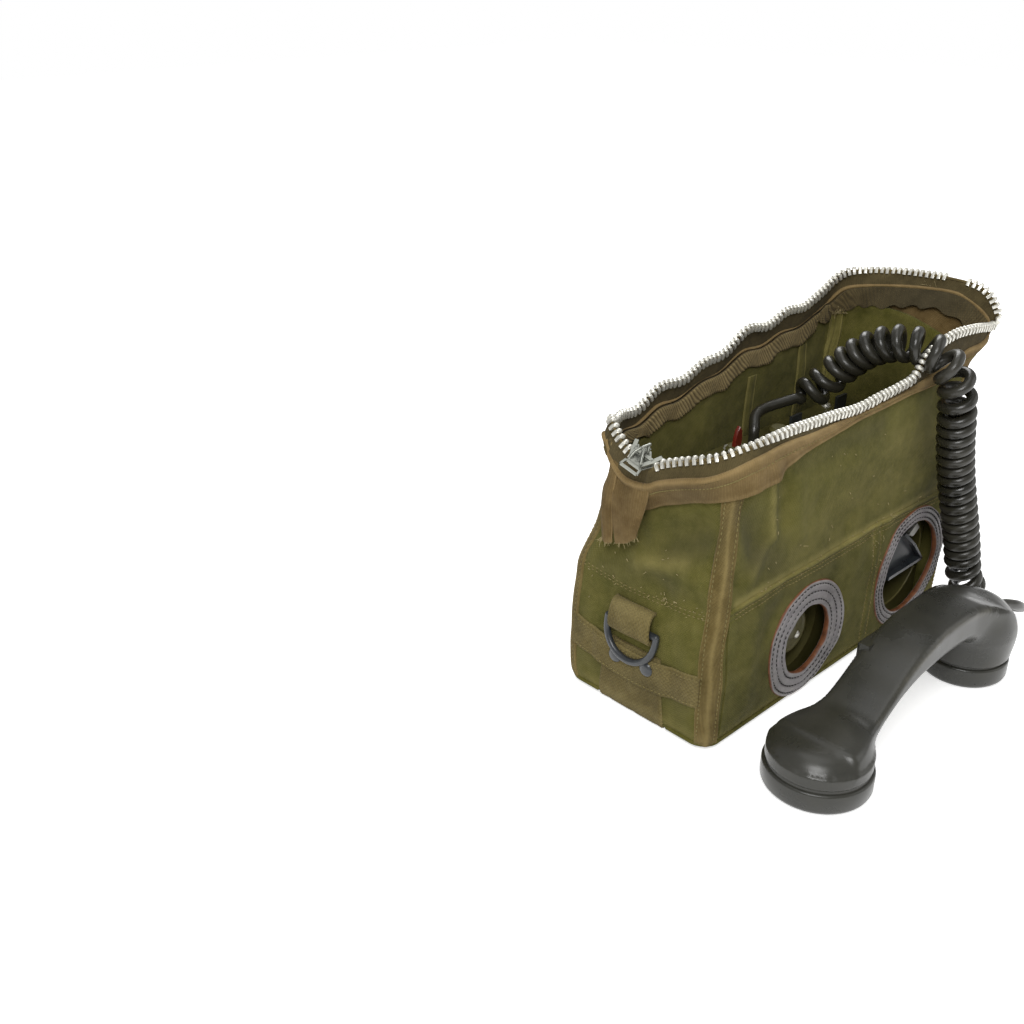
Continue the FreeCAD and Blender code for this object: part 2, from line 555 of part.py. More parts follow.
def housing():
    """The moulded body of the telephone with the crank's and the buzzer's wells, its gasket and top panel."""
    shell = cut("housing_hollow", slab("housing_outside", "box_length", "box_depth", "box_near_round",
                                       "box_round", "box_foot", f"{DECK} - gasket - box_foot"),
                slab("housing_inside", "box_length - 2 * box_wall", "box_depth - 2 * box_wall",
                     "box_near_round - box_wall", "box_round - box_wall", "box_foot + box_wall", "box_top"))
    face = "-box_depth / 2"
    cups = fuse("well_cups",
                rod("crank_cup", "crank_well + well_wall", "crank_well_deep + well_wall",
                    ("large_place", face, "large_height"), ALONG_Y),
                rod("buzzer_cup", "buzzer_well + well_wall", "buzzer_well_deep + well_wall",
                    ("small_place", face, "small_height"), ALONG_Y))
    wells = fuse("wells",
                 rod("crank_room", "crank_well", "crank_well_deep + 5",
                     ("large_place", f"{face} - 5", "large_height"), ALONG_Y),
                 rod("buzzer_room", "buzzer_well", "buzzer_well_deep + 5",
                     ("small_place", f"{face} - 5", "small_height"), ALONG_Y),
                 rod("shaft_bore", "shaft_round + running", "80",
                     ("large_place", f"{face} - 5", "large_height"), ALONG_Y),
                 rod("spindle_bore", "3 + running", "40", ("small_place", f"{face} - 5", "small_height"),
                     ALONG_Y))
    deck_cut = block("deck_cut", "400", "200", "50", ("-200", "-100", f"{DECK} - gasket"))
    hollow = cut("housing_bored", fuse("housing_cups", shell, cups), fuse("housing_cuts", wells, deck_cut))
    keep("housing", hollow)
    keep("gasket", cut("gasket_ring", slab("gasket_outside", "box_length", "box_depth", "box_near_round",
                                           "box_round", f"{DECK} - gasket", "gasket"),
                       slab("gasket_inside", "box_length - 4 * box_wall", "box_depth - 4 * box_wall",
                       "box_near_round - 2 * box_wall", "box_round - 2", f"{DECK} - gasket - 1",
                       "gasket + 2")))
    plate = slab("panel_blank", "box_length", "box_depth", "box_near_round", "box_round", DECK, "panel")
    holes = [rod("post_hole_a", "3", "9", ("post_place_a", "post_row", f"{DECK} - 3")),
             rod("post_hole_b", "3", "9", ("post_place_b", "post_row", f"{DECK} - 3")),
             rod("gland_hole", "5", "9", ("cord_place", "cord_row", f"{DECK} - 3")),
             rod("selector_hole", "3 + running", "9", ("-48", "control_row", f"{DECK} - 3")),
             rod("receptacle_hole", "9", "9", ("-10", "control_row", f"{DECK} - 3")),
             block("lever_slot", "16", "4.4", "9", ("22", "control_row - 2.2", f"{DECK} - 3")),
             rod("plunger_hole", "3.5 + running", "9", ("80", "0", f"{DECK} - 3")),
             block("battery_mouth", "38", "72", "9", ("cell_place - 19", "-36", f"{DECK} - 3"))]
    keep("panel", cut("panel_holed", plate, fuse("panel_holes", *holes)))
    heads = []
    for k, (x, y) in enumerate(SCREWS):
        head = cone(f"screw_{k}", "3.4", "2.6", "1.8", (str(x), str(y), TOP))
        heads.append(cut(f"screw_slotted_{k}", head,
                         block(f"screw_slot_{k}", "8", "0.9", "1",
                               (f"{x} - 4", f"{y} - 0.45", f"{TOP} + 1"))))
    keep("panel_screws", group("panel_screw_heads", *heads))


def inner_works():
    """Cells, coil, capacitor and buzzer under the panel."""
    holder = block("holder_block", "41", "74", "111", ("cell_place - 20.5", "-37", "box_foot + box_wall"))
    pockets = [rod(f"pocket_{k}", "cell_round + 0.3", "90",
                   ("cell_place", f"{s} * cell_row",
                    f"{DECK} - gasket - cell_height - 3")) for k, s in enumerate((-1, 1))]
    keep("battery_holder", cut("holder_bored", holder, fuse("pockets", *pockets)))
    cells = []
    for k, s in enumerate((-1, 1)):
        foot = f"{DECK} - gasket - cell_height - 3"
        can = rod(f"can_{k}", "cell_round", "cell_height - 2", ("cell_place", f"{s} * cell_row", foot))
        nub = rod(f"nub_{k}", "3.5", "2", ("cell_place", f"{s} * cell_row", f"{foot} + cell_height - 2"))
        cells.append(fuse(f"cell_{k}", can, nub))
    keep("batteries", group("cell_pair", *cells))
    lid = slab("lid_plate", "46", "80", "4", "4", TOP, "2.4")
    place(lid, ("cell_place", "0", "0"))
    knobs = [rod(f"lid_knob_{y}", "5", "5", ("cell_place", y, f"{TOP} + 2.4")) for y in ("-30", "30")]
    keep("battery_cover", fuse("lid_with_knobs", lid, *knobs))
    core = block("coil_core", "30", "30", "26", ("-8", "4", "box_foot + box_wall"))
    bobbin = rod("coil_bobbin", "12", "40", ("7", "19", "box_foot + box_wall + 26"))
    keep("induction_coil", fuse("coil_whole", core, bobbin))
    keep("capacitor", block("capacitor_can", "22", "18", "46", ("-44", "18", "box_foot + box_wall")))
    behind_well = "buzzer_well_deep + well_wall + 0.3 - box_depth / 2"
    keep("buzzer", rod("buzzer_can", "22", "16", ("small_place", behind_well, "small_height"), ALONG_Y))


def gear_shape(teeth, addendum, thin):
    """A spur gear about Y with involute flanks, two straight facets to a flank."""
    module, width = size("module_size"), size("gear_thick")
    pitch, pressure = module * teeth / 2, math.radians(20)
    base = pitch * math.cos(pressure)
    root, tip = pitch - 1.2 * module, pitch + addendum * module
    half = math.pi / (2 * teeth) - thin / pitch

    def involute(r):
        return math.tan(math.acos(base / r)) - math.acos(base / r) if r > base else 0.0

    radii = [root, max(base, root + 0.05), (max(base, root) + tip) / 2, tip]
    outline = []
    for k in range(teeth):
        centre = 2 * math.pi * k / teeth
        rise = [(r, centre - half - involute(pitch) + involute(r)) for r in radii]
        fall = [(r, 2 * centre - a) for r, a in reversed(rise)]
        outline += [Vector(r * math.sin(a), 0, r * math.cos(a)) for r, a in rise + fall]
    wire = Part.makePolygon(outline + outline[:1])
    return Part.Face(wire).extrude(Vector(0, width, 0))


def generator():
    """The hand generator: main gear on the crank's shaft, pinion and armature in the magnet frame."""
    shaft_x, axis_z = size("large_place"), size("large_height")
    reach = size("module_size") * (size("gear_teeth") + size("pinion_teeth")) / 2
    plane = -size("box_depth") / 2 + size("crank_well_deep") + size("well_wall") + 0.6
    gear = gear_shape(int(size("gear_teeth")), 0.6, 0.16)
    gear = gear.cut(Part.makeCylinder(size("shaft_round"), 20, Vector(0, -2, 0), Vector(0, 1, 0)))
    for k in range(5):
        a = math.radians(72 * k)
        gear = gear.cut(Part.makeCylinder(5, 20, Vector(14 * math.sin(a), -2, 14 * math.cos(a)),
                                          Vector(0, 1, 0)))
    obj = solid_from("main_gear", gear)
    obj.Placement = Placement(Vector(shaft_x, plane, axis_z), Rotation())
    pinion = gear_shape(int(size("pinion_teeth")), 1.0, 0.16)
    pinion = pinion.cut(Part.makeCylinder(2.5, 20, Vector(0, -2, 0), Vector(0, 1, 0)))
    obj = solid_from("rotor_pinion", pinion)
    obj.Placement = Placement(Vector(shaft_x - reach, plane, axis_z), Rotation())
    mid = "large_place - module_size * (gear_teeth + pinion_teeth) / 2"
    back = "crank_well_deep + well_wall - box_depth / 2 + gear_thick + 1.4"
    frame = block("frame_block", "40", "rotor_length + 8", "40", (f"{mid} - 20", back, "large_height - 20"))
    foot = block("frame_foot", "28", "rotor_length + 8", "large_height - 20 - box_foot - box_wall",
                 (f"{mid} - 14", back, "box_foot + box_wall"))
    lug = block("frame_lug", "36", "6", "22", (f"{mid} + 8", back, "large_height - 11"))
    room = rod("rotor_room", "rotor_round + 0.4", "rotor_length + 1",
               (mid, f"{back} + 3.5", "large_height"), ALONG_Y)
    bore = rod("rotor_bore", "2.5 + running", "90", (mid, f"{back} - 5", "large_height"), ALONG_Y)
    journal = rod("crank_bore", "shaft_round + running", "40",
                  ("large_place", f"{back} - 5", "large_height"), ALONG_Y)
    gap = block("frame_gap", "12", "rotor_length + 1", "40",
                (f"{mid} - 6", f"{back} + 3.5", "large_height + 4"))
    keep("generator_frame", cut("frame_bored", fuse("frame_whole", frame, foot, lug),
                                fuse("frame_bores", room, bore, journal, gap)))
    drum = rod("drum", "rotor_round", "rotor_length", (mid, f"{back} + 4", "large_height"), ALONG_Y)
    slots = [block(f"drum_slot_{k}", "6", "rotor_length + 2", "15",
                   (f"{mid} - 3", f"{back} + 3",
                    f"large_height + {z}")) for k, z in enumerate(("5", "-20"))]
    spindle = rod("spindle", "2.5", "rotor_length + gear_thick + 7.6",
                  (mid, f"{back} - gear_thick - 0.8", "large_height"), ALONG_Y)
    keep("generator_rotor", fuse("rotor_whole", cut("drum_slotted", drum, fuse("drum_slots", *slots)),
                                 spindle))


CRANK_TURN = Rotation(Vector(0, 1, 0), -140)


def crank():
    """Shaft, channel-shaped arm, pin and the grip folded into the channel, drawn with the arm toward +X."""
    floor_y = "crank_well_deep - box_depth / 2"
    shaft = rod("shaft", "shaft_round", "gear_thick + well_wall + 16", ("0", f"{floor_y} - 8", "0"),
                ALONG_Y)
    place(shaft, ("large_place", f"{floor_y} - 8", "large_height"), ALONG_Y)
    keep("crank_shaft", shaft)
    arm_y = f"{floor_y} - 0.6 - 7"
    hub = rod("hub", "hub_round", "7", ("0", arm_y, "0"), ALONG_Y)
    arm = block("arm", "arm_reach", "arm_thick", "arm_width", ("0", arm_y, "-arm_width / 2"))
    cheeks = block("cheeks", "arm_reach", "11", "arm_width + 2",
                   ("4", f"{arm_y} - 7.6", "-arm_width / 2 - 1"))
    gap = block("cheek_gap", "30", "40", "2 * grip_round + 0.6",
                ("arm_reach - 20", f"{arm_y} - 40", "-grip_round - 0.3"))
    bore = rod("hub_bore", "shaft_round", "60", ("0", f"{arm_y} - 20", "0"), ALONG_Y)
    pin_hole = rod("pin_hole", "pin_round", "60", ("arm_reach", f"{arm_y} - 4.9", "-30"))
    keep("crank_arm", place(cut("arm_cut", fuse("arm_whole", hub, arm, cheeks),
                                fuse("arm_cuts", gap, bore, pin_hole)),
                            ("large_place", "0", "large_height"), CRANK_TURN))
    pin = rod("pin", "pin_round", "arm_width + 2", ("arm_reach", f"{arm_y} - 4.9", "-arm_width / 2 - 1"))
    keep("grip_pin", place(group("pin_placed", pin), ("large_place", "0", "large_height"), CRANK_TURN))
    grip_points = [("0", "-4.4"), ("2.4", "-3.8"), ("3.9", "-2.3"), ("grip_round", "0.01"),
                   ("grip_round - 0.9", "8"), ("grip_round - 0.3", "grip_length - 8"),
                   ("grip_round - 1.6", "grip_length - 4.4"), ("0", "grip_length - 4.4")]
    grip = turned("grip", grip_points, ("arm_reach", f"{arm_y} - 4.9", "0"), Rotation(Vector(0, 1, 0), -90))
    eye = rod("grip_eye", "pin_round + running", "40", ("arm_reach", f"{arm_y} - 4.9", "-20"))
    keep("crank_grip", place(cut("grip_bored", grip, eye), ("large_place", "0", "large_height"),
                             CRANK_TURN))
    face = "buzzer_well_deep - box_depth / 2"
    knob = rod("volume_disc", "12", "5", ("small_place", f"{face} - 5.6", "small_height"), ALONG_Y)
    stem = rod("volume_stem", "3", "well_wall + 5.6", ("small_place", f"{face} - 5.6", "small_height"),
               ALONG_Y)
    lever = block("volume_lever", "9", "5", "8", ("small_place - 19", f"{face} - 5.6", "small_height - 4"))
    bore = rod("volume_bore", "1.6", "12", ("small_place", f"{face} - 8", "small_height"), ALONG_Y)
    keep("buzzer_volume_control", cut("volume_bored", fuse("volume_whole", knob, stem, lever), bore))
    head = rod("volume_screw_head", "4", "1.6", ("small_place", f"{face} - 7.2", "small_height"), ALONG_Y)
    shank = rod("volume_screw_shank", "1.6", "7", ("small_place", f"{face} - 7.2", "small_height"), ALONG_Y)
    slot = block("volume_screw_slot", "12", "0.8", "0.9",
                 ("small_place - 6", f"{face} - 7.3", "small_height - 0.45"))
    keep("buzzer_screw", cut("volume_screw_cut", fuse("volume_screw", head, shank), slot))


def panel_fittings():
    """Binding posts, switches, socket and cradle on the top panel."""
    bases = []
    for letter, node in (("a", "line_post_left"), ("b", "line_post_right")):
        x = f"post_place_{letter}"
        base_points = [("0", "-6"), ("3", "-6"), ("3", "0"), ("post_round + 1", "0"), ("post_round + 1", "3"),
                       ("2.2", "3"), ("2.2", "post_height - 7"), ("0", "post_height - 7")]
        bases.append(turned(f"{node}_turned", base_points, (x, "post_row", TOP)))
        cap_points = [("2.2 + running", "7.2"), ("post_round", "7.2"), ("post_round", "post_height - 2"),
                      ("post_round - 1.5", "post_height"), ("0", "post_height"), ("0", "post_height - 3.4"),
                      ("2.2 + running", "post_height - 3.4")]
        keep(f"{node}_cap", turned(f"{node}_cap_turned", cap_points, (x, "post_row", TOP)))
    keep("line_post_bases", group("post_bases", *bases))
    knob = turned("selector_turned", [("0", "-6"), ("3", "-6"), ("3", "0.3"), ("11", "0.3"), ("11", "3"),
                                      ("8.5", "4"), ("7.5", "12"), ("0", "12")],
                  ("-48", "control_row", TOP))
    pointer = block("selector_pointer", "14", "3", "5", ("-48 - 1", "control_row - 1.5", f"{TOP} + 0.3"))
    keep("selector_knob", fuse("selector_whole", knob, pointer))
    socket = rod("socket_barrel", "9", "16", ("-10", "control_row", f"{TOP} - 8"))
    collar = rod("socket_collar", "12", "2.4", ("-10", "control_row", TOP))
    mouth = rod("socket_mouth", "6.5", "14", ("-10", "control_row", f"{TOP} - 4"))
    keep("headset_receptacle", cut("socket_cut", fuse("socket_whole", socket, collar), mouth))
    plug = rod("receptacle_plug", "6.4", "10", ("-10", "control_row", f"{TOP} - 1"))
    top = rod("receptacle_top", "10", "3.5", ("-10", "control_row", f"{TOP} + 8.2"))
    keep("receptacle_cap", fuse("receptacle_cap_whole", plug, top))
    pivot = rod("lever_pivot", "2.4", "3.6", ("30", "control_row - 1.8", f"{TOP} - 4.2"), ALONG_Y)
    stick = block("lever_stick", "4", "3.6", "17", ("28", "control_row - 1.8", f"{TOP} - 4.2"))
    tip = block("lever_tip", "6", "9", "7", ("27", "control_row - 4.5", f"{TOP} + 10"))
    keep("talk_switch_lever", fuse("lever_whole", pivot, stick, tip))
    plunger_points = [("0", "-10"), ("3.5", "-10"), ("3.5", "-5.4"), ("6", "-5.4"), ("6", "-3.2"),
                      ("3.5", "-3.2"), ("3.5", "9"), ("2.5", "10"), ("0", "10")]
    keep("hook_switch_plunger", turned("plunger_turned", plunger_points, ("80", "0", TOP)))
    clips = []
    for k, x in enumerate(("50", "106")):
        foot = block(f"clip_foot_{k}", "12", "50", "2", (f"{x} - 6", "-25", TOP))
        ears = [block(f"clip_ear_{k}_{y}", "12", "2", "16", (f"{x} - 6", y, TOP)) for y in ("-25", "23")]
        clips.append(fuse(f"clip_{k}", foot, *ears))
    keep("cradle_clips", group("cradle", *clips))


def handset():
    """The moulded handset lying on its two caps."""
    stations = [("-96", "26", "30", "20", "10"), ("-72", "31", "27", "22", "24"),
                ("-45", "44", "handle_width", "24", "20"),
                ("-8", "handle_top - 11", "handle_width", "handle_thick",
                 "4"), ("30", "handle_top - 13", "handle_width", "handle_thick", "-10"),
                ("56", "41", "30", "25", "-26"), ("74", "30", "30", "22", "-30")]
    outlines = []
    for k, (x, z, width, thick, slope) in enumerate(stations):
        outlines.append(rounded_outline(f"handle_{k}", thick, width, "9", "8", (x, "set_row", z),
                                        Rotation(Vector(0, 1, 0), 90 - float(slope))))
    handle = loft("handle", outlines)
    ear_points = [("0", "cap_height + 0.3"), ("cap_round - 1", "cap_height + 0.3"), ("cap_round - 0.4", "20"),
                  ("cap_round - 2.5", "29"), ("cap_round - 8", "36"), ("cap_round - 16", "40"), ("0", "41")]
    ear_bowl = turned("ear_bowl", ear_points, ("ear_place", "set_row", "0"))
    mouth_points = [("0", "cap_height + 0.3"), ("cap_round - 1", "cap_height + 0.3"), ("cap_round - 0.4", "24"),
                    ("cap_round - 2", "36"), ("cap_round - 7", "44"), ("cap_round - 16", "49"), ("0", "50")]
    mouth_bowl = turned("mouth_bowl", mouth_points, ("mouth_place", "set_row", "0"))
    cavities = fuse("capsule_rooms",
                    rod("ear_room", "cap_round - 4", "18", ("ear_place", "set_row", "cap_height - 1")),
                    rod("mouth_room", "cap_round - 4", "24", ("mouth_place", "set_row", "cap_height - 1")))
    slot = block("bar_slot", "62", "9", "14", ("-46", "set_row + handle_width / 2 - 6", "handle_top - 19"))
    exit_bore = rod("exit_bore", "6.2", "30", ("mouth_place + cap_round - 8", "set_row",
                                               "cord_exit_height"), ALONG_X)
    shell = cut("set_hollow", fuse("set_whole", handle, ear_bowl, mouth_bowl),
                fuse("set_cuts", cavities, slot, exit_bore))
    keep("handset_shell", shell)
    for node, x in (("receiver", "ear_place"), ("transmitter", "mouth_place")):
        cup = turned(f"{node}_cup", [("0", "0"), ("cap_round - 3", "0"), ("cap_round", "3"),
                                     ("cap_round", "cap_height - 3"),
                                     ("cap_round - 0.9",
                                      "cap_height - 2.4"), ("cap_round - 0.9", "cap_height"),
                                     ("cap_round - cap_wall",
                                      "cap_height"), ("cap_round - cap_wall", "3.4"), ("0", "3.4")],
                     (x, "set_row", "0"))
        ports = [rod(f"{node}_port", "2", "20", (x, "set_row", "-5"))]
        for k in range(6):
            a = math.radians(60 * k)
            ports.append(rod(f"{node}_port_{k}", "1.8", "20",
                             (f"{x} + {9 * math.cos(a):.3f}", f"set_row + {9 * math.sin(a):.3f}", "-5")))
        keep(f"{node}_cap", cut(f"{node}_ported", cup, fuse(f"{node}_ports", *ports)))
        keep(f"{node}_capsule", rod(f"{node}_can", "cap_round - 4.6", "20", (x, "set_row", "4.4")))
    bar = block("bar_body", "60", "8.6", "12", ("-45", "set_row + handle_width / 2 - 4", "handle_top - 18"))
    fillet = doc.addObject("Part::Fillet", "bar_round")
    fillet.Base = bar
    doc.recompute()
    back = bar.Shape.BoundBox.YMax
    long_edges = [k for k, e in enumerate(bar.Shape.Edges, start=1) if abs(e.CenterOfMass.y - back) < 1e-3]
    fillet.Edges = [(k, 2.5, 2.5) for k in long_edges]
    keep("push_to_talk_bar", fillet)


def tube_path(points):
    """Straight runs joined by tangent arcs, each arc as large as its two runs allow."""
    pts = [Vector(*p) for p in points]
    edges, start, radii = [], pts[0], []
    for a, b, c in zip(pts, pts[1:], pts[2:]):
        u, v = (b - a).normalize(), (c - b).normalize()
        half = u.getAngle(v) / 2
        setback = 0.45 * min((b - a).Length, (c - b).Length)
        radii.append(setback / math.tan(half))
        p, q = b - u * setback, b + v * setback
        bulge = (v - u).normalize()
        mid = b + bulge * (radii[-1] / math.cos(half) - radii[-1])
        edges += [Part.makeLine(start, p), Part.Arc(p, mid, q).toShape()]
        start = q
    edges.append(Part.makeLine(start, pts[-1]))
    return Part.Wire(edges), radii


def tube(node, points):
    """A plain round cord along a route chosen by hand."""
    path, radii = tube_path(points)
    first = path.Edges[0]
    section = Part.Wire(Part.makeCircle(size("wire") / 2, first.Vertexes[0].Point,
                                        first.tangentAt(first.FirstParameter)))
    shape = path.makePipeShell([section], True, False)
    expected = math.pi * (size("wire") / 2) ** 2 * path.Length
    print(node, "length", round(path.Length, 1), "volume ratio", round(shape.Volume / expected, 4),
          "radii", [round(r, 1) for r in radii])
    return solid_from(node, shape)


# The middle line of the curled length: from inside the case, over the rim and down to the floor
CURL_ROUTE = [(44, 22, 158), (54, 17, 160), (61, 4, 178), (64, -13, 196), (66, -33, 206), (68, -57, 206),
              (73, -73.5, 191), (80, -74, 165), (88, -73, 140), (97, -74, 112), (106, -77, 84), (113, -79, 62),
              (119, -80, 42), (125, -82, 25), (134, -85, 17)]
LEAD_IN = [(2, 24, 134), (2, 24, 146), (11, 31, 153)]
LEAD_OUT = [(104, -114, 27), (116, -114, 27), (130, -118, 22), (145, -117, 13), (154, -107, 6),
            (153, -96, 4.5)]


def curl_line():
    """The curled length's way as a function of the count of turns, the whole count, and its two ends."""
    axis = Part.BSplineCurve()
    axis.buildFromPoles([Vector(*p) for p in CURL_ROUTE], False, 2)
    steps = 1500
    spacing = axis.length() / steps
    params = [axis.parameterAtDistance(spacing * k, axis.FirstParameter) for k in range(steps + 1)]
    points = [axis.value(p) for p in params]
    tangents = [axis.tangent(p)[0] for p in params]
    bends = [axis.curvature(p) for p in params]
    reach = int(16 / spacing)
    arms, turns = [], [0.0]
    arm = tangents[0].cross(Vector(0, 0, 1)).normalize()
    for k in range(steps + 1):
        arm = (arm - tangents[k] * arm.dot(tangents[k])).normalize()
        arms.append(arm)
        near = bends[max(0, k - reach):k + reach + 1]
        opened = (size("wire") + size("curl_gap")) / (1 - size("curl_round") * max(near))
        turns.append(turns[-1] + spacing / max(size("curl_pitch"), opened))
    turns.pop()

    def at(turn):
        k = min(max(bisect.bisect_right(turns, turn) - 1, 0), steps - 1)
        part = (turn - turns[k]) / (turns[k + 1] - turns[k])
        along, ahead = tangents[k], tangents[k + 1]
        middle = points[k] + (points[k + 1] - points[k]) * part
        side = arms[k] + (arms[k + 1] - arms[k]) * part
        way = along + (ahead - along) * part
        ease = max(0.0, min(1.0, turn / 0.8, (turns[-1] - turn) / 0.8))
        swell = size("curl_round") * ease * ease * (3 - 2 * ease)
        angle = 2 * math.pi * turn
        return middle + (side * math.cos(angle) + way.cross(side) * math.sin(angle)) * swell

    return at, turns[-1], tangents[0], tangents[-1]


def arc_from(start, way, end):
    """The arc that leaves a point in a given direction and ends at another point."""
    chord = end - start
    unit = Vector(chord).normalize()
    bulge = way - unit * way.dot(unit)
    if bulge.Length < 1e-6:
        return Part.makeLine(start, end)
    sagitta = chord.Length / 2 * math.tan(way.getAngle(unit) / 2)
    return Part.Arc(start, start + chord * 0.5 + bulge.normalize() * sagitta, end).toShape()


def biarc(start, way, end, last_way):
    """Two tangent arcs between two points with given directions."""
    v, both = end - start, way + last_way
    a, b, c = 2 * (way.dot(last_way) - 1), -2 * v.dot(both), v.dot(v)
    reach = -c / b if abs(a) < 1e-9 else (-b - math.sqrt(b * b - 4 * a * c)) / (2 * a)
    joint = (start + way * reach + end - last_way * reach) * 0.5
    return [arc_from(start, way, joint), arc_from(end, last_way * -1, joint)]


def curly_cord():
    """The curled length as one wound tube with straight ends."""
    at, total, first, last = curl_line()
    count = round(total * 2)
    marks = [total * k / count for k in range(count + 1)]
    spots = [at(m) for m in marks]
    ways = [(at(m + 0.02) - at(m - 0.02)).normalize() for m in marks]
    ways[0], ways[-1] = first, last
    begin, end = spots[0] - first * size("wire"), spots[-1] + last * size("wire")
    edges = [Part.makeLine(begin, spots[0])]
    samples = []
    for k in range(count):
        arcs = biarc(spots[k], ways[k], spots[k + 1], ways[k + 1])
        edges += arcs
        samples += [(k, p) for arc in arcs for p in arc.discretize(7)]
    edges.append(Part.makeLine(spots[-1], end))
    gaps = [(p - q).Length for i, (k, p) in enumerate(samples) for j, q in samples[i + 1:] if j - k >= 2]
    least = min(gaps)
    print("curly_cord turns", round(total, 1), "least gap to itself", round(least - size("wire"), 2))
    path = Part.Wire(edges)
    side = first.cross(Vector(0, 0, 1)).normalize()
    ring = [begin + (side * math.cos(math.radians(60 * k))
                     + first.cross(side) * math.sin(math.radians(60 * k))) * (size("wire") / 2)
            for k in range(6)]
    shape = path.makePipeShell([Part.makePolygon(ring + ring[:1])], True, False)
    print("curly_cord length", round(path.Length, 1), "volume", round(shape.Volume), "of",
          round(path.Length * 2.598 * (size("wire") / 2) ** 2))
    solid_from("curly_cord", shape)
    return begin, first, end, last


def cords():
    """The whole cord, from the gland on the panel to the gland on the handset."""
    begin, first, end, last = curly_cord()
    tube("cord_lead_in", LEAD_IN + [tuple(begin - first * 14), tuple(begin)])
    tube("cord_lead_out", LEAD_OUT + [tuple(end + last * 9), tuple(end)])
    keep("panel_cord_gland", turned("panel_gland_turned",
                                    [("0", "-7"), ("4.9", "-7"), ("4.9", "0"), ("7.5", "0"), ("7.5", "2"),
                                     ("5.5", "2.6"),
                                     ("4.4", "6"), ("0", "6")], ("cord_place", "cord_row", TOP)))
    keep("handset_cord_gland", turned("handset_gland_turned",
                                      [("0", "-4"), ("6", "-4"), ("6", "0"), ("5.2", "6"), ("4.4", "8"),
                                       ("0", "8")],
                                      ("mouth_place + cap_round", "set_row", "cord_exit_height"), ALONG_X))


def write_parts():
    doc.recompute()
    failed = [o.Name for o in doc.Objects if "Invalid" in o.State or "Error" in o.State]
    bad = [o.Label for o in KEPT if o.Shape.isNull() or not o.Shape.isValid() or not o.Shape.Solids]
    if failed or bad:
        raise RuntimeError(f"failed: {failed} bad: {bad}")
    os.makedirs("parts", exist_ok=True)
    for o in KEPT:
        o.Shape.exportStep(f"parts/{o.Label}.step")


case_form = canvas_case()
case_trim(case_form, corner_bindings(case_form))
ring_hardware(case_form)
mouth_band()
zip_teeth()
zip_slider()
housing()
inner_works()
generator()
crank()
panel_fittings()
handset()
cords()
write_parts()
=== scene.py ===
import math

import bmesh
import bpy
import numpy as np
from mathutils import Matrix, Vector


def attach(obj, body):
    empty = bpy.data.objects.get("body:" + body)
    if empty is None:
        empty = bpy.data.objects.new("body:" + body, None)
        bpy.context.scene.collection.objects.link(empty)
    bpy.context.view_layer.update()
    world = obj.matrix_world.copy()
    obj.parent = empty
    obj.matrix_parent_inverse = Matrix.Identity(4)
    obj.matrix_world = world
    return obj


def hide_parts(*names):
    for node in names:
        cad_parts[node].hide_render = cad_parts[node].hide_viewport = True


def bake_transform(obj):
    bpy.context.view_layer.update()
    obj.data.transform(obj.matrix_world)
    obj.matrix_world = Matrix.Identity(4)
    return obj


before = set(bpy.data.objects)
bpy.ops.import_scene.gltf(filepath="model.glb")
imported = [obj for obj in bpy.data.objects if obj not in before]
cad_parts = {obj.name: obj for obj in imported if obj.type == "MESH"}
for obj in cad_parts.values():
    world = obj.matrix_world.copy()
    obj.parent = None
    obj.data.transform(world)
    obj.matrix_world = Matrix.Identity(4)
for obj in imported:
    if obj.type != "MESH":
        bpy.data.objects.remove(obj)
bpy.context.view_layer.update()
mm = 0.001
root = "telephone_case"
chance = np.random.default_rng(11)

# Places and sizes are millimetres in the object's own frame. makeObject turns them into metres.


# Mesh helpers

def makeObject(name, points, faces, material, cloth=None, marks=None, sharp=None):
    mesh = bpy.data.meshes.new(name)
    mesh.from_pydata((np.asarray(points, float).reshape(-1, 3) * mm).tolist(), [], faces)
    mesh.materials.append(material)
    mesh.polygons.foreach_set("use_smooth", [True] * len(mesh.polygons))
    if cloth is not None:
        layer = mesh.uv_layers.new(name="cloth")
        corner = np.empty(len(mesh.loops), dtype=np.int32)
        mesh.loops.foreach_get("vertex_index", corner)
        flat = np.asarray(cloth, float).reshape(-1, 2) * mm
        layer.data.foreach_set("uv", flat[corner].ravel())
    for key, values in (marks or {}).items():
        attribute = mesh.attributes.new(key, "FLOAT", "POINT")
        attribute.data.foreach_set("value", np.asarray(values, float).ravel())
    obj = bpy.data.objects.new(name, mesh)
    bpy.context.collection.objects.link(obj)
    editMesh(obj, lambda bm: bmesh.ops.recalc_face_normals(bm, faces=bm.faces))
    if sharp:
        mesh.set_sharp_from_angle(angle=math.radians(sharp))
    return obj


def editMesh(obj, change):
    bm = bmesh.new()
    bm.from_mesh(obj.data)
    change(bm)
    bm.to_mesh(obj.data)
    bm.free()


def addPiece(obj, stands=(), body=root):
    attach(obj, body)
    if stands:
        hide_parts(*stands)


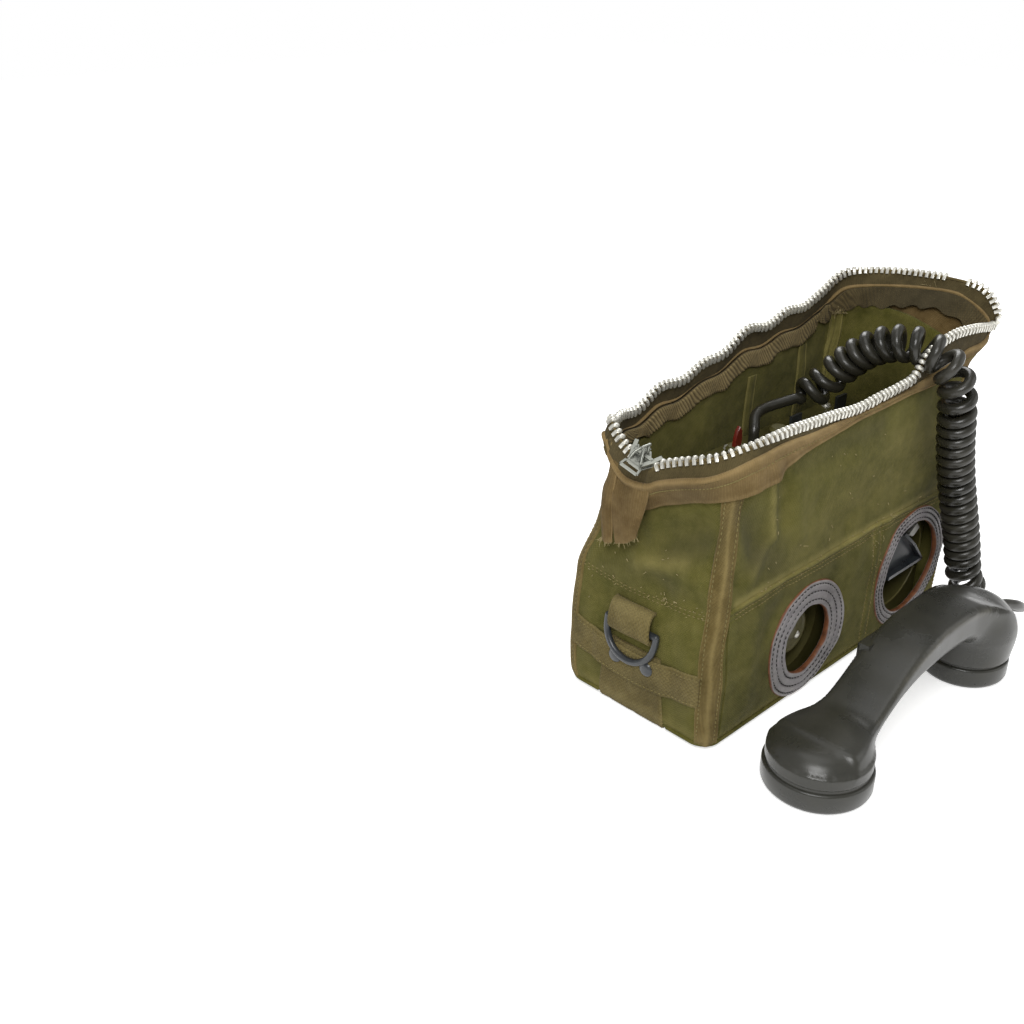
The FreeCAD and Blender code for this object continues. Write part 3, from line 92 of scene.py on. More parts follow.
def sheetFaces(keep, wrap):
    # faces of two layers of points joined at the rim: keep marks the cells that the sheet has
    rows, cells = keep.shape
    cols = cells if wrap else cells + 1
    count = (rows + 1) * cols
    faces = []
    for i, j in np.argwhere(keep):
        k = (j + 1) % cols
        a, b, c, d = i * cols + j, i * cols + k, (i + 1) * cols + k, (i + 1) * cols + j
        faces.append((a, b, c, d))
        faces.append((count + d, count + c, count + b, count + a))
        left = keep[i, j - 1] if (j > 0 or wrap) else False
        right = keep[i, (j + 1) % cells] if (j < cells - 1 or wrap) else False
        if i == 0 or not keep[i - 1, j]:
            faces.append((b, a, count + a, count + b))
        if i == rows - 1 or not keep[i + 1, j]:
            faces.append((d, c, count + c, count + d))
        if not left:
            faces.append((a, d, count + d, count + a))
        if not right:
            faces.append((c, b, count + b, count + c))
    return [tuple(int(v) for v in face) for face in faces]


def sheetSolid(name, outer, inner, material, cloth=None, keep=None, wrap=False, marks=None, sharp=None):
    # a closed sheet between two grids of points, rows by columns
    rows, cols = outer.shape[:2]
    if keep is None:
        keep = np.ones((rows - 1, cols if wrap else cols - 1), bool)
    points = np.concatenate([outer.reshape(-1, 3), inner.reshape(-1, 3)])
    if cloth is not None:
        cloth = np.concatenate([cloth.reshape(-1, 2)] * 2)
    if marks:
        marks = {key: np.concatenate([np.ravel(v)] * 2) for key, v in marks.items()}
    obj = makeObject(name, points, sheetFaces(keep, wrap), material, cloth, marks, sharp)
    if not keep.all():
        editMesh(obj, dropLoose)
    return obj


def dropLoose(bm):
    bmesh.ops.delete(bm, geom=[v for v in bm.verts if not v.link_faces], context="VERTS")


def loopFaces(rows, cols, wrapRows, first=0):
    # faces of a grid whose columns close on themselves
    faces = []
    for i in range(rows if wrapRows else rows - 1):
        for j in range(cols):
            k, n = (j + 1) % cols, (i + 1) % rows
            a, b = first + i * cols, first + n * cols
            faces.append((a + j, a + k, b + k, b + j))
    return faces


def sweepSolid(name, sections, material, cloth=None, closed=False, marks=None, sharp=None):
    # a solid from closed sections, one after another; the ends are filled unless it closes on itself
    rows, cols = sections.shape[:2]
    faces = loopFaces(rows, cols, closed)
    if not closed:
        faces.append(tuple(range(cols)))
        faces.append(tuple(range((rows - 1) * cols, rows * cols)))
    return makeObject(name, sections, faces, material, cloth, marks, sharp)


def unit(v):
    return v / np.maximum(np.linalg.norm(v, axis=-1, keepdims=True), 1e-9)


def frames(path, closed=False, start=None):
    # the way along a path and two directions across it, carried on without twist
    if closed:
        way = unit(np.roll(path, -1, 0) - np.roll(path, 1, 0))
    else:
        way = unit(np.gradient(path, axis=0))
    side = np.empty_like(path)
    first = np.array(start if start is not None else (0.0, 0.0, 1.0))
    if start is None and abs(way[0, 2]) > 0.9:
        first = np.array((1.0, 0.0, 0.0))
    for k in range(len(path)):
        first = first - way[k] * np.dot(first, way[k])
        first = first / np.linalg.norm(first)
        side[k] = first
    return way, side, np.cross(way, side)


def tubeSections(path, radius, sides=12, closed=False):
    way, side, up = frames(path, closed)
    angle = np.linspace(0, 2 * math.pi, sides, endpoint=False)
    radius = np.broadcast_to(np.asarray(radius, float), (len(path),))
    ring = side[:, None] * np.cos(angle)[None, :, None] + up[:, None] * np.sin(angle)[None, :, None]
    return path[:, None] + ring * radius[:, None, None]


def runLength(path):
    steps = np.linalg.norm(np.diff(path, axis=0), axis=1)
    return np.concatenate([[0], np.cumsum(steps)])


def respaced(path, count, closed=False):
    # the same path with evenly spaced points
    whole = np.concatenate([path, path[:1]]) if closed else path
    run = runLength(whole)
    marks = np.linspace(0, run[-1], count, endpoint=not closed)
    return np.stack([np.interp(marks, run, whole[:, k]) for k in range(3)], 1)


def latheSolid(name, profile, material, centre, axis, steps=48, sharp=35):
    # a turned solid: profile is (radius, height along the axis) from end to end
    axis = unit(np.array(axis, float))
    across = unit(np.cross(axis, (0.0, 0.0, 1.0) if abs(axis[2]) < 0.9 else (1.0, 0.0, 0.0)))
    other = np.cross(axis, across)
    angle = np.linspace(0, 2 * math.pi, steps, endpoint=False)
    ring = np.cos(angle)[:, None] * across + np.sin(angle)[:, None] * other
    rows = [np.array(centre, float) + axis * h + ring * r for r, h in profile]
    return sweepSolid(name, np.array(rows), material, sharp=sharp)


def joined(name, parts):
    # one object from several made earlier
    bpy.ops.object.select_all(action="DESELECT")
    for part in parts:
        part.select_set(True)
    bpy.context.view_layer.objects.active = parts[0]
    bpy.ops.object.join()
    parts[0].name = name
    parts[0].data.name = name
    return parts[0]


def curveThrough(points, marks, closed=True):
    # a smooth curve through points, read at marks counted in points
    points = np.asarray(points, float)
    count = len(points)
    base = np.floor(marks).astype(int)
    s = (np.asarray(marks) - base)[:, None]
    if closed:
        p = [points[(base + k) % count] for k in (-1, 0, 1, 2)]
    else:
        p = [points[np.clip(base + k, 0, count - 1)] for k in (-1, 0, 1, 2)]
    return 0.5 * (2 * p[1] + (p[2] - p[0]) * s + (2 * p[0] - 5 * p[1] + 4 * p[2] - p[3]) * s ** 2
                  + (3 * p[1] - p[0] - 3 * p[2] + p[3]) * s ** 3)


def smoothCurve(x, table):
    # a smooth function through (place, value) pairs, level past its ends
    places = np.array([p[0] for p in table], float)
    values = np.array([p[1] for p in table], float)
    slopes = np.zeros_like(values)
    steps = np.diff(values) / np.diff(places)
    for k in range(1, len(values) - 1):
        if steps[k - 1] * steps[k] > 0:
            slopes[k] = 2 * steps[k - 1] * steps[k] / (steps[k - 1] + steps[k])
    x = np.clip(np.asarray(x, float), places[0], places[-1])
    k = np.clip(np.searchsorted(places, x, side="right") - 1, 0, len(places) - 2)
    run = places[k + 1] - places[k]
    s = (x - places[k]) / run
    return (values[k] * (1 + 2 * s) * (1 - s) ** 2 + values[k + 1] * s * s * (3 - 2 * s)
            + slopes[k] * run * s * (1 - s) ** 2 + slopes[k + 1] * run * s * s * (s - 1))


def ease(x):
    x = np.clip(x, 0, 1)
    return x * x * (3 - 2 * x)


def waves(points, longest, height, count=7, seed=1):
    # soft random swelling of about the given height; its waves run from the given length to a third of it
    rng = np.random.default_rng(seed)
    total = np.zeros(points.shape[:-1])
    for k in range(count):
        direction = unit(rng.normal(size=3))
        length = longest * (1 / 3) ** (k / (count - 1))
        total += np.sin(points @ direction * 2 * math.pi / length + rng.uniform(0, 6.28)) * length / longest
    return total * height / count * 1.6


def nearLine(points, a, b, width):
    # one on the line from a to b and falling off beside it
    a, b = np.array(a, float), np.array(b, float)
    run = b - a
    part = np.clip(((points - a) @ run) / (run @ run), 0, 1)
    gap = np.linalg.norm(points - a - part[..., None] * run, axis=-1)
    return np.exp(-(gap / width) ** 2)


# Shared shader effects

def newGroup(name, inputs, outputs):
    group = bpy.data.node_groups.new(name, "ShaderNodeTree")
    for label, value in inputs.items():
        socket = group.interface.new_socket(label, in_out="INPUT", socket_type="NodeSocketFloat")
        socket.default_value = value
    for label in outputs:
        group.interface.new_socket(label, in_out="OUTPUT", socket_type="NodeSocketFloat")
    start = group.nodes.new("NodeGroupInput")
    end = group.nodes.new("NodeGroupOutput")
    return group, start, end


def addNode(tree, kind, links=None, **settings):
    node = tree.nodes.new(kind)
    for key, value in settings.items():
        setattr(node, key, value)
    for socket, source in (links or {}).items():
        if hasattr(source, "is_output"):
            tree.links.new(source, node.inputs[socket])
        else:
            node.inputs[socket].default_value = source
    return node


def mathNode(tree, operation, a, b=None, clamp=False):
    links = {0: a}
    if b is not None:
        links[1] = b
    return addNode(tree, "ShaderNodeMath", links, operation=operation, use_clamp=clamp).outputs[0]


def times(tree, a, b, clamp=False):
    return mathNode(tree, "MULTIPLY", a, b, clamp)


def plus(tree, a, b):
    return mathNode(tree, "ADD", a, b)


def mixColour(tree, factor, a, b, blend="MIX"):
    node = tree.nodes.new("ShaderNodeMix")
    node.data_type, node.blend_type = "RGBA", blend
    for index, source in ((0, factor), (6, a), (7, b)):
        if hasattr(source, "is_output"):
            tree.links.new(source, node.inputs[index])
        else:
            node.inputs[index].default_value = source
    return node.outputs[2]


def rampNode(tree, source, low, high):
    node = addNode(tree, "ShaderNodeMapRange", {0: source, 1: low, 2: high, 3: 0.0, 4: 1.0})
    node.clamp = True
    return node.outputs[0]


def noiseNode(tree, place, scale, detail, roughness):
    links = {"Vector": place, "Scale": scale, "Detail": detail, "Roughness": roughness}
    return addNode(tree, "ShaderNodeTexNoise", links).outputs[0]


def weaveGroup():
    # threads over and under each other, counted along the cloth's own two directions
    group, start, end = newGroup("weave", {"Pitch": 0.0008, "Twill": 0.0}, ["Height", "Thread"])
    tree, jitterAmount = group, 1.6
    cloth = addNode(tree, "ShaderNodeUVMap", uv_map="cloth")
    split = addNode(tree, "ShaderNodeSeparateXYZ", {0: cloth.outputs[0]})
    unevenness = {"Vector": cloth.outputs[0], "Scale": 260.0, "Detail": 1.0}
    wobble = addNode(tree, "ShaderNodeTexNoise", unevenness)
    jitter = times(tree, mathNode(tree, "SUBTRACT", wobble.outputs[0], 0.5), jitterAmount)
    across = mathNode(tree, "DIVIDE", split.outputs[0], start.outputs["Pitch"])
    along = mathNode(tree, "DIVIDE", split.outputs[1], start.outputs["Pitch"])
    shifted = plus(tree, across, times(tree, along, start.outputs["Twill"]))
    u = mathNode(tree, "SINE", plus(tree, times(tree, shifted, math.pi), jitter))
    v = mathNode(tree, "SINE", plus(tree, times(tree, along, math.pi), jitter))
    height = plus(tree, times(tree, times(tree, u, v), 0.5), 0.5)  # between 0 and 1
    tree.links.new(height, end.inputs["Height"])
    tree.links.new(rampNode(tree, height, 0.15, 0.8), end.inputs["Thread"])
    return group


def fadeGroup():
    # broad uneven fading, finer blotches and small pale specks, by place on the object
    group, start, end = newGroup("fade", {"Broad": 14.0, "Fine": 90.0}, ["Fade", "Blotch", "Speck"])
    place = addNode(group, "ShaderNodeTexCoord").outputs["Object"]
    broad = noiseNode(group, place, start.outputs["Broad"], 4.0, 0.6)
    fine = noiseNode(group, place, start.outputs["Fine"], 6.0, 0.7)
    specks = addNode(group, "ShaderNodeTexVoronoi", {"Vector": place, "Scale": 420.0})
    group.links.new(rampNode(group, broad, 0.36, 0.66), end.inputs["Fade"])
    group.links.new(rampNode(group, fine, 0.3, 0.72), end.inputs["Blotch"])
    group.links.new(rampNode(group, specks.outputs[0], 0.16, 0.05), end.inputs["Speck"])
    return group


def markGroup():
    # reads the marks that a mesh carries for each of its points: the paler one holds wear and in places a
    # painted highlight, the darker one holds dirt and in places painted shade
    group, _, end = newGroup("marks", {}, ["Wear", "DirtAndShade"])
    wearAndHighlight = addNode(group, "ShaderNodeAttribute", attribute_name="wearAndHighlight")
    dirtAndShade = addNode(group, "ShaderNodeAttribute", attribute_name="dirtAndShade")
    group.links.new(wearAndHighlight.outputs["Fac"], end.inputs["Wear"])
    group.links.new(dirtAndShade.outputs["Fac"], end.inputs["DirtAndShade"])
    return group


def scratchGroup():
    # fine hairline scratches and dust on hard parts
    group, start, end = newGroup("scratches", {"Scale": 170.0}, ["Scratch", "Smudge"])
    place = addNode(group, "ShaderNodeTexCoord").outputs["Object"]
    drawnOut = {"Vector": place, "Rotation": (0.5, 0.3, 0.8), "Scale": (1.0, 14.0, 6.0)}
    stretch = addNode(group, "ShaderNodeMapping", drawnOut)
    lines = noiseNode(group, stretch.outputs[0], start.outputs["Scale"], 5.0, 0.65)
    smudge = noiseNode(group, place, 35.0, 4.0, 0.6)
    group.links.new(rampNode(group, lines, 0.6, 0.82), end.inputs["Scratch"])
    group.links.new(rampNode(group, smudge, 0.35, 0.7), end.inputs["Smudge"])
    return group


weave, fade, marks, scratches = weaveGroup(), fadeGroup(), markGroup(), scratchGroup()


def useGroup(tree, group, **values):
    node = tree.nodes.new("ShaderNodeGroup")
    node.node_tree = group
    for key, value in values.items():
        node.inputs[key].default_value = value
    return node.outputs


def startMaterial(name, roughness=0.6, metallic=0.0, specular=0.5):
    material = bpy.data.materials.new(name)
    material.use_nodes = True
    tree = material.node_tree
    shader = next(n for n in tree.nodes if n.type == "BSDF_PRINCIPLED")
    shader.inputs["Roughness"].default_value = roughness
    shader.inputs["Metallic"].default_value = metallic
    shader.inputs["Specular IOR Level"].default_value = specular
    return material, tree, shader


def addBump(tree, shader, height, distance, strength=1.0):
    bump = addNode(tree, "ShaderNodeBump", {"Strength": strength, "Distance": distance, "Height": height})
    tree.links.new(bump.outputs[0], shader.inputs["Normal"])


# grime is the dark colour that soiled places and painted shade are both mixed towards
clothLook = {"grimeAndShade": (0.05, 0.045, 0.03, 1), "roughness": 0.95, "specular": 0.08, "sheen": 0.05,
             "blotch": 0.45, "gaps": 0.35, "dirtAndShade": 0.75, "speck": 0.25, "bump": 0.9}


def clothMaterial(name, dark, base, pale, pitch, twill=0.0, depth=0.00022):
    material, tree, shader = startMaterial(name, clothLook["roughness"], 0.0, clothLook["specular"])
    cloth = useGroup(tree, weave, Pitch=pitch, Twill=twill)
    spread = useGroup(tree, fade)
    mark = useGroup(tree, marks)
    colour = mixColour(tree, spread["Fade"], dark, base)
    colour = mixColour(tree, times(tree, spread["Blotch"], clothLook["blotch"]), colour, pale)
    gaps = mathNode(tree, "SUBTRACT", 1.0, cloth["Thread"])
    colour = mixColour(tree, times(tree, gaps, clothLook["gaps"]), colour, dark)
    # paler where the cloth is worn, and where a highlight is painted into the colour
    wornAndLit = times(tree, mark["Wear"], plus(tree, times(tree, spread["Blotch"], 0.5), 0.6), clamp=True)
    colour = mixColour(tree, wornAndLit, colour, pale)
    # darker where the cloth is soiled, and where shade is painted into the colour
    colour = mixColour(tree, times(tree, mark["DirtAndShade"], clothLook["dirtAndShade"]), colour, clothLook["grimeAndShade"])
    colour = mixColour(tree, times(tree, spread["Speck"], clothLook["speck"]), colour, pale)
    tree.links.new(colour, shader.inputs["Base Color"])
    shader.inputs["Sheen Weight"].default_value = clothLook["sheen"]
    shader.inputs["Sheen Roughness"].default_value = 0.6
    height = plus(tree, cloth["Height"], times(tree, spread["Blotch"], 0.8))
    addBump(tree, shader, height, depth, clothLook["bump"])
    return material


def hardMaterial(name, base, dust, roughness, metallic=0.0, specular=0.5, amount=0.35):
    material, tree, shader = startMaterial(name, roughness, metallic, specular)
    marked = useGroup(tree, scratches)
    mark = useGroup(tree, marks)
    colour = mixColour(tree, times(tree, marked["Smudge"], amount), base, dust)
    colour = mixColour(tree, times(tree, marked["Scratch"], 0.2), colour, dust)
    colour = mixColour(tree, times(tree, mark["Wear"], 0.8), colour, dust)
    tree.links.new(colour, shader.inputs["Base Color"])
    rough = plus(tree, times(tree, marked["Smudge"], 0.12), roughness - 0.05)
    rough = plus(tree, rough, times(tree, marked["Scratch"], 0.08))
    tree.links.new(rough, shader.inputs["Roughness"])
    addBump(tree, shader, marked["Smudge"], 0.00008, 0.35)
    return material


def rgb(r, g, b):
    # a colour as it shows on a screen, 0 to 255, in the shader's linear values
    linear = [((c / 255 + 0.055) / 1.055) ** 2.4 if c > 10 else c / 255 / 12.92 for c in (r, g, b)]
    return (*linear, 1.0)


canvas = clothMaterial("canvas", rgb(70, 69, 24), rgb(98, 95, 40), rgb(142, 132, 78), 0.0008)
brownTape = clothMaterial("brown tape", rgb(84, 66, 36), rgb(114, 94, 56), rgb(166, 142, 98), 0.0007,
                          twill=1.0)
binding = clothMaterial("binding", rgb(78, 66, 34), rgb(106, 90, 50), rgb(154, 136, 88), 0.0009, twill=1.0)
webbing = clothMaterial("webbing", rgb(80, 70, 40), rgb(112, 99, 58), rgb(154, 140, 94), 0.0014,
                        depth=0.0004)
nickel = hardMaterial("nickel", rgb(232, 230, 220), rgb(176, 172, 158), 0.34, metallic=0.6)
blackSteel = hardMaterial("black steel", rgb(34, 38, 42), rgb(84, 87, 90), 0.3, specular=0.6)
steel = hardMaterial("steel", rgb(170, 170, 165), rgb(120, 118, 108), 0.35, metallic=1.0)
brass = hardMaterial("brass", rgb(176, 142, 74), rgb(110, 90, 50), 0.38, metallic=1.0)
oliveMoulding = hardMaterial("olive moulding", rgb(72, 68, 34), rgb(110, 104, 62), 0.4)
blackMoulding = hardMaterial("black moulding", rgb(26, 26, 25), rgb(60, 58, 52), 0.35)
zincAlloy = hardMaterial("zinc alloy", rgb(158, 160, 152), rgb(112, 112, 98), 0.36, metallic=0.85)
redPlastic = hardMaterial("red plastic", rgb(110, 34, 22), rgb(70, 30, 22), 0.35)
cordRubber = hardMaterial("cord rubber", rgb(38, 37, 31), rgb(74, 71, 60), 0.3)
handsetMoulding = hardMaterial("handset moulding", rgb(50, 50, 45), rgb(88, 85, 74), 0.3, amount=0.2)


def leatherMaterial():
    material, tree, shader = startMaterial("leather", 0.55, 0.0, 0.4)
    spread = useGroup(tree, fade, Broad=30.0, Fine=160.0)
    mark = useGroup(tree, marks)
    edge = addNode(tree, "ShaderNodeAttribute", attribute_name="edge").outputs["Fac"]
    colour = mixColour(tree, spread["Fade"], rgb(104, 100, 102), rgb(136, 132, 134))
    colour = mixColour(tree, times(tree, spread["Blotch"], 0.4), colour, rgb(160, 155, 153))
    colour = mixColour(tree, times(tree, mark["Wear"], spread["Blotch"]), colour, rgb(178, 173, 168))
    cutEdge = mixColour(tree, spread["Blotch"], rgb(76, 44, 26), rgb(140, 86, 52))
    colour = mixColour(tree, edge, colour, cutEdge)
    tree.links.new(colour, shader.inputs["Base Color"])
    place = addNode(tree, "ShaderNodeTexCoord").outputs["Object"]
    grain = addNode(tree, "ShaderNodeTexVoronoi", {"Vector": place, "Scale": 900.0})
    addBump(tree, shader, grain.outputs[0], 0.00012, 0.5)
    return material


leather = leatherMaterial()
zipCloth = clothMaterial("zip cloth", rgb(66, 56, 32), rgb(92, 80, 48), rgb(140, 124, 84), 0.0007,
                         twill=1.0)
ribbedBand = clothMaterial("ribbed band", rgb(70, 58, 32), rgb(104, 88, 54), rgb(158, 140, 98), 0.0009)
thread = clothMaterial("thread", rgb(104, 94, 56), rgb(130, 118, 74), rgb(166, 152, 104), 0.0006)
darkThread = clothMaterial("dark thread", rgb(52, 50, 50), rgb(70, 68, 68), rgb(92, 90, 88), 0.0006)
paleThread = clothMaterial("pale thread", rgb(140, 126, 86), rgb(176, 160, 116), rgb(206, 192, 150), 0.0006)


# The camera, floor and light

view = {"place": (-0.5950, -0.3794, 0.4326), "azimuth": -43.163, "elevation": 26.266, "focus": 1150,
        "frame": 1024,
        "sensor": 36, "far": 50}


def placeCamera():
    data = bpy.data.cameras.new("camera")
    data.sensor_width = view["sensor"]
    data.lens = view["sensor"] * view["focus"] / view["frame"]
    data.clip_end = view["far"]
    camera = bpy.data.objects.new("camera", data)
    camera.location = view["place"]
    camera.rotation_euler = (math.radians(90 - view["elevation"]), 0, math.radians(view["azimuth"]))
    bpy.context.collection.objects.link(camera)
    bpy.context.scene.camera = camera


light = {"world": 0.36, "floor": 4000, "glow": 0.58, "horizon": 1.1}
lamps = {  # place, target, size, power
    "key": ((-0.95, -0.55, 1.15), (0, 0, 0.1), 0.7, 11.5),
    "fill": ((0.9, -1.1, 0.8), (0, 0, 0.1), 1.2, 3.2),
    "back": ((0.75, 0.65, 1.0), (0, -0.05, 0.05), 0.8, 8.5),
    "top": ((-0.1, 0.0, 1.5), (0, 0, 0.1), 1.0, 3.0),
}


def addLamp(name, place, target, size, power):
    data = bpy.data.lights.new(name, "AREA")
    data.shape, data.size, data.energy = "DISK", size, power
    lamp = bpy.data.objects.new(name, data)
    lamp.location = place
    lamp.rotation_euler = (Vector(target) - Vector(place)).to_track_quat("-Z", "Y").to_euler()
    bpy.context.collection.objects.link(lamp)


def lightScene():
    world = bpy.data.worlds.new("studio")
    bpy.context.scene.world = world
    world.use_nodes = True
    tree = world.node_tree
    back = next(n for n in tree.nodes if n.type == "BACKGROUND")
    back.inputs["Color"].default_value = (1, 1, 1, 1)
    path = addNode(tree, "ShaderNodeLightPath")
    seen = mathNode(tree, "MAXIMUM", path.outputs["Is Camera Ray"], path.outputs["Is Transmission Ray"])
    strength = plus(tree, times(tree, seen, 1 - light["world"]), light["world"])
    tree.links.new(strength, back.inputs["Strength"])
    for name, settings in lamps.items():
        addLamp(name, *settings)
    half = light["floor"]
    ground = [(-half, -half, 0), (half, -half, 0), (half, half, 0), (-half, half, 0)]
    floor = makeObject("floor", ground, [(0, 1, 2, 3)], floorMaterial())
    bpy.context.scene.view_settings.view_transform = "Standard"


def floorMaterial():
    # pale, and lit from within for the camera and for mirrors only, more so towards the horizon
    material, tree, shader = startMaterial("floor", 0.9, 0.0, 0.1)
    shader.inputs["Base Color"].default_value = (0.97, 0.97, 0.965, 1)
    path = addNode(tree, "ShaderNodeLightPath")
    output = next(n for n in tree.nodes if n.type == "OUTPUT_MATERIAL")
    place = addNode(tree, "ShaderNodeTexCoord").outputs["Object"]
    away = addNode(tree, "ShaderNodeVectorMath", {0: place}, operation="LENGTH").outputs["Value"]
    far = times(tree, rampNode(tree, away, 0.5, 2.0), light["horizon"] - light["glow"])
    glow = addNode(tree, "ShaderNodeEmission", {"Strength": plus(tree, far, light["glow"])})
    both = addNode(tree, "ShaderNodeAddShader", {0: shader.outputs[0], 1: glow.outputs[0]})
    seen = mathNode(tree, "MAXIMUM", path.outputs["Is Camera Ray"], path.outputs["Is Glossy Ray"])
    pick = addNode(tree, "ShaderNodeMixShader", {0: seen, 1: shader.outputs[0], 2: both.outputs[0]})
    tree.links.new(pick.outputs[0], output.inputs["Surface"])
    return material


placeCamera()
lightScene()
print("camera, floor and light are placed")


# The case's skin: an upright form with four rounded corners, whose left end is drawn in towards the rim

caseForm = {
    "length": [(0, 262), (3, 266), (9, 268.5), (45, 269.5), (80, 267), (125, 261), (190, 252), (215, 252)],
    "depth": [(0, 108), (3, 112), (9, 114), (45, 115.5), (80, 113.5), (125, 111), (190, 107), (215, 106)],
    "shift": [(60, -1.5), (100, 0), (125, 1.5), (190, 6), (215, 8)],
    "rounds": {"frontRight": [(9, 11), (215, 12)], "backRight": [(9, 11), (215, 12)],
               "backLeft": [(9, 11), (84, 13), (112, 31), (128, 36), (150, 44), (215, 46)],
               "frontLeft": [(9, 11), (110, 11), (150, 17), (190, 26), (215, 30)]},
    "canvas": 2.4, "foot": 1.2, "middle": (3.0, 0.0, 0.0),
}
levels = np.arange(0, 216.0)
formTables = [smoothCurve(levels, caseForm["length"]) / 2, smoothCurve(levels, caseForm["depth"]) / 2,
              smoothCurve(levels, caseForm["shift"])]
formTables += [smoothCurve(levels, table) for table in caseForm["rounds"].values()]

# Folds in the canvas: from, to, half width and height, outward where positive
folds = [
    ((-90, -57, 166), (-86, -57, 128), 5, 2.2), ((-80, -57, 164), (-76, -57, 134), 6, -2.6),
    ((-90, -57, 130), (-104, -57, 108), 6, 1.8), ((-114, -56, 154), (-101, -57, 130), 9, -4.2),
    ((-126, -50, 140), (-118, -57, 112), 8, -2.4), ((-62, -57, 168), (-20, -57, 162), 9, -2.0),
    ((-66, -57, 152), (-58, -57, 118), 7, 1.8), ((-52, -57, 150), (60, -57, 156), 15, 1.8),
    ((90, -57, 168), (112, -57, 120), 8, -1.6), ((-40, -57, 132), (-4, -57, 108), 9, -1.6),
    ((20, -57, 118), (-20, -57, 106), 10, -1.3), ((60, -57, 104), (120, -57, 112), 9, 1.3),
    ((-104, -57, 20), (-98, -57, 78), 10, 1.5), ((-86, -57, 62), (-70, -57, 84), 9, -1.4),
    ((0, -57, 30), (10, -57, 80), 12, 1.2), ((28, -57, 66), (44, -57, 92), 8, 1.2),
    ((-128, -40, 144), (-134, -14, 128), 10, -6.0), ((-132, -34, 116), (-134, 4, 108), 9, 3.4),
    ((-133, 8, 120), (-134, 30, 114), 8, -3.8), ((-132, -48, 126), (-132, -26, 98), 7, 2.2),
    ((-134, -10, 98), (-134, -40, 94), 7, -1.8), ((-134, 10, 94), (-134, 40, 96), 8, 1.8),
    ((-134, -38, 66), (-134, -44, 20), 8, 1.3), ((-134, 38, 60), (-134, 44, 14), 8, 1.4),
    ((-134, -20, 84), (-134, 26, 76), 8, -1.2),
    ((134, -30, 150), (134, 20, 130), 14, -2.4), ((134, 30, 160), (134, 36, 110), 9, 1.8),
    ((134, -44, 170), (134, -20, 120), 8, 1.8), ((134, -20, 90), (134, 30, 84), 12, -1.4),
    ((-80, 57, 130), (-60, 57, 60), 14, 1.4), ((-10, 57, 140), (20, 57, 90), 16, -2.2),
    ((60, 57, 150), (70, 57, 100), 10, 1.6), ((100, 57, 160), (84, 57, 120), 9, -1.6),
]


def relief(points):
    # how far the canvas stands out from its even form
    total = waves(points, 96, 0.9, seed=3) + waves(points, 30, 0.28, seed=4)
    for a, b, width, height in folds:
        total = total + nearLine(points, a, b, width) * height
    return total * np.clip((points[..., 2] - 2) / 10, 0, 1)


def formAt(z):
    return [np.interp(z, levels, values) for values in formTables]


def breaks(z):
    # where each straight side and each corner of the outline ends, along it from the middle of the front
    a, b, shift, fr, br, bl, fl = formAt(z)
    quarter = math.pi / 2
    ends = [a - fr]
    for length in (fr * quarter, 2 * b - fr - br, br * quarter, 2 * a - br - bl, bl * quarter,
                   2 * b - bl - fl, fl * quarter):
        ends.append(ends[-1] + length)
    return ends, ends[-1] + a - fl


def sidePlace(side, q, z):
    # the run round the outline of a place given by its side and its x or y there
    a, b, shift, fr, br, bl, fl = formAt(z)
    ends, whole = breaks(z)
    if side == "front":
        return (q - shift) % whole
    if side == "right":
        return ends[1] + b - fr + q
    if side == "back":
        return ends[3] + a - br - (q - shift)
    return ends[5] + b - bl - q


def toTurn(s, z):
    # a run round the outline as a count of its sides and corners, 0 to 8, from the front's left corner
    ends, whole = breaks(z)
    a, b, shift, fr, br, bl, fl = formAt(z)
    s = np.asarray(s + a - fl) % whole
    stops = [np.zeros_like(s)] + [e + a - fl for e in ends]
    turn = np.zeros_like(s)
    for k in range(8):
        part = (s - stops[k]) / np.maximum(stops[k + 1] - stops[k], 1e-6)
        turn = np.where((part >= 0) & (part <= 1), k + part, turn)
    return turn


def outline(turn, z):
    # place and outward side of the case's even form
    a, b, shift, fr, br, bl, fl = formAt(z)
    turn = turn % 8
    k, s = np.floor(turn).astype(int), turn % 1
    angle = s * math.pi / 2
    sin, cos = np.sin(angle), np.cos(angle)
    zero = np.zeros_like(angle)
    corners = [(a - fr, -b + fr, fr, sin, -cos), (a - br, b - br, br, cos, sin),
               (-a + bl, b - bl, bl, -sin, cos), (-a + fl, -b + fl, fl, -cos, -sin)]
    x, y, nx, ny = zero, zero, zero, zero
    straights = [((-a + fl, a - fr), (-b, -b), (0, -1)), ((a, a), (-b + fr, b - br), (1, 0)),
                 ((a - br, -a + bl), (b, b), (0, 1)), ((-a, -a), (b - bl, -b + fl), (-1, 0))]
    for n in range(4):
        (x0, x1), (y0, y1), (sx, sy) = straights[n]
        here = k == 2 * n
        x, y = np.where(here, x0 + (x1 - x0) * s, x), np.where(here, y0 + (y1 - y0) * s, y)
        nx, ny = np.where(here, sx, nx), np.where(here, sy, ny)
        cx, cy, r, ux, uy = corners[n]
        here = k == 2 * n + 1
        x, y = np.where(here, cx + r * ux, x), np.where(here, cy + r * uy, y)
        nx, ny = np.where(here, ux, nx), np.where(here, uy, ny)
    z = np.broadcast_to(z, x.shape)
    return np.stack([x + shift, y, z], -1), np.stack([nx, ny, zero], -1)


def onTurn(turn, z, lift=0.0):
    points, normals = outline(np.asarray(turn, float), np.asarray(z, float))
    return points + normals * (relief(points) + lift)[..., None], normals


def onSkin(side, q, z, lift=0.0):
    q, z = np.broadcast_arrays(np.asarray(q, float), np.asarray(z, float))
    return onTurn(toTurn(sidePlace(side, q, z), z), z, lift)


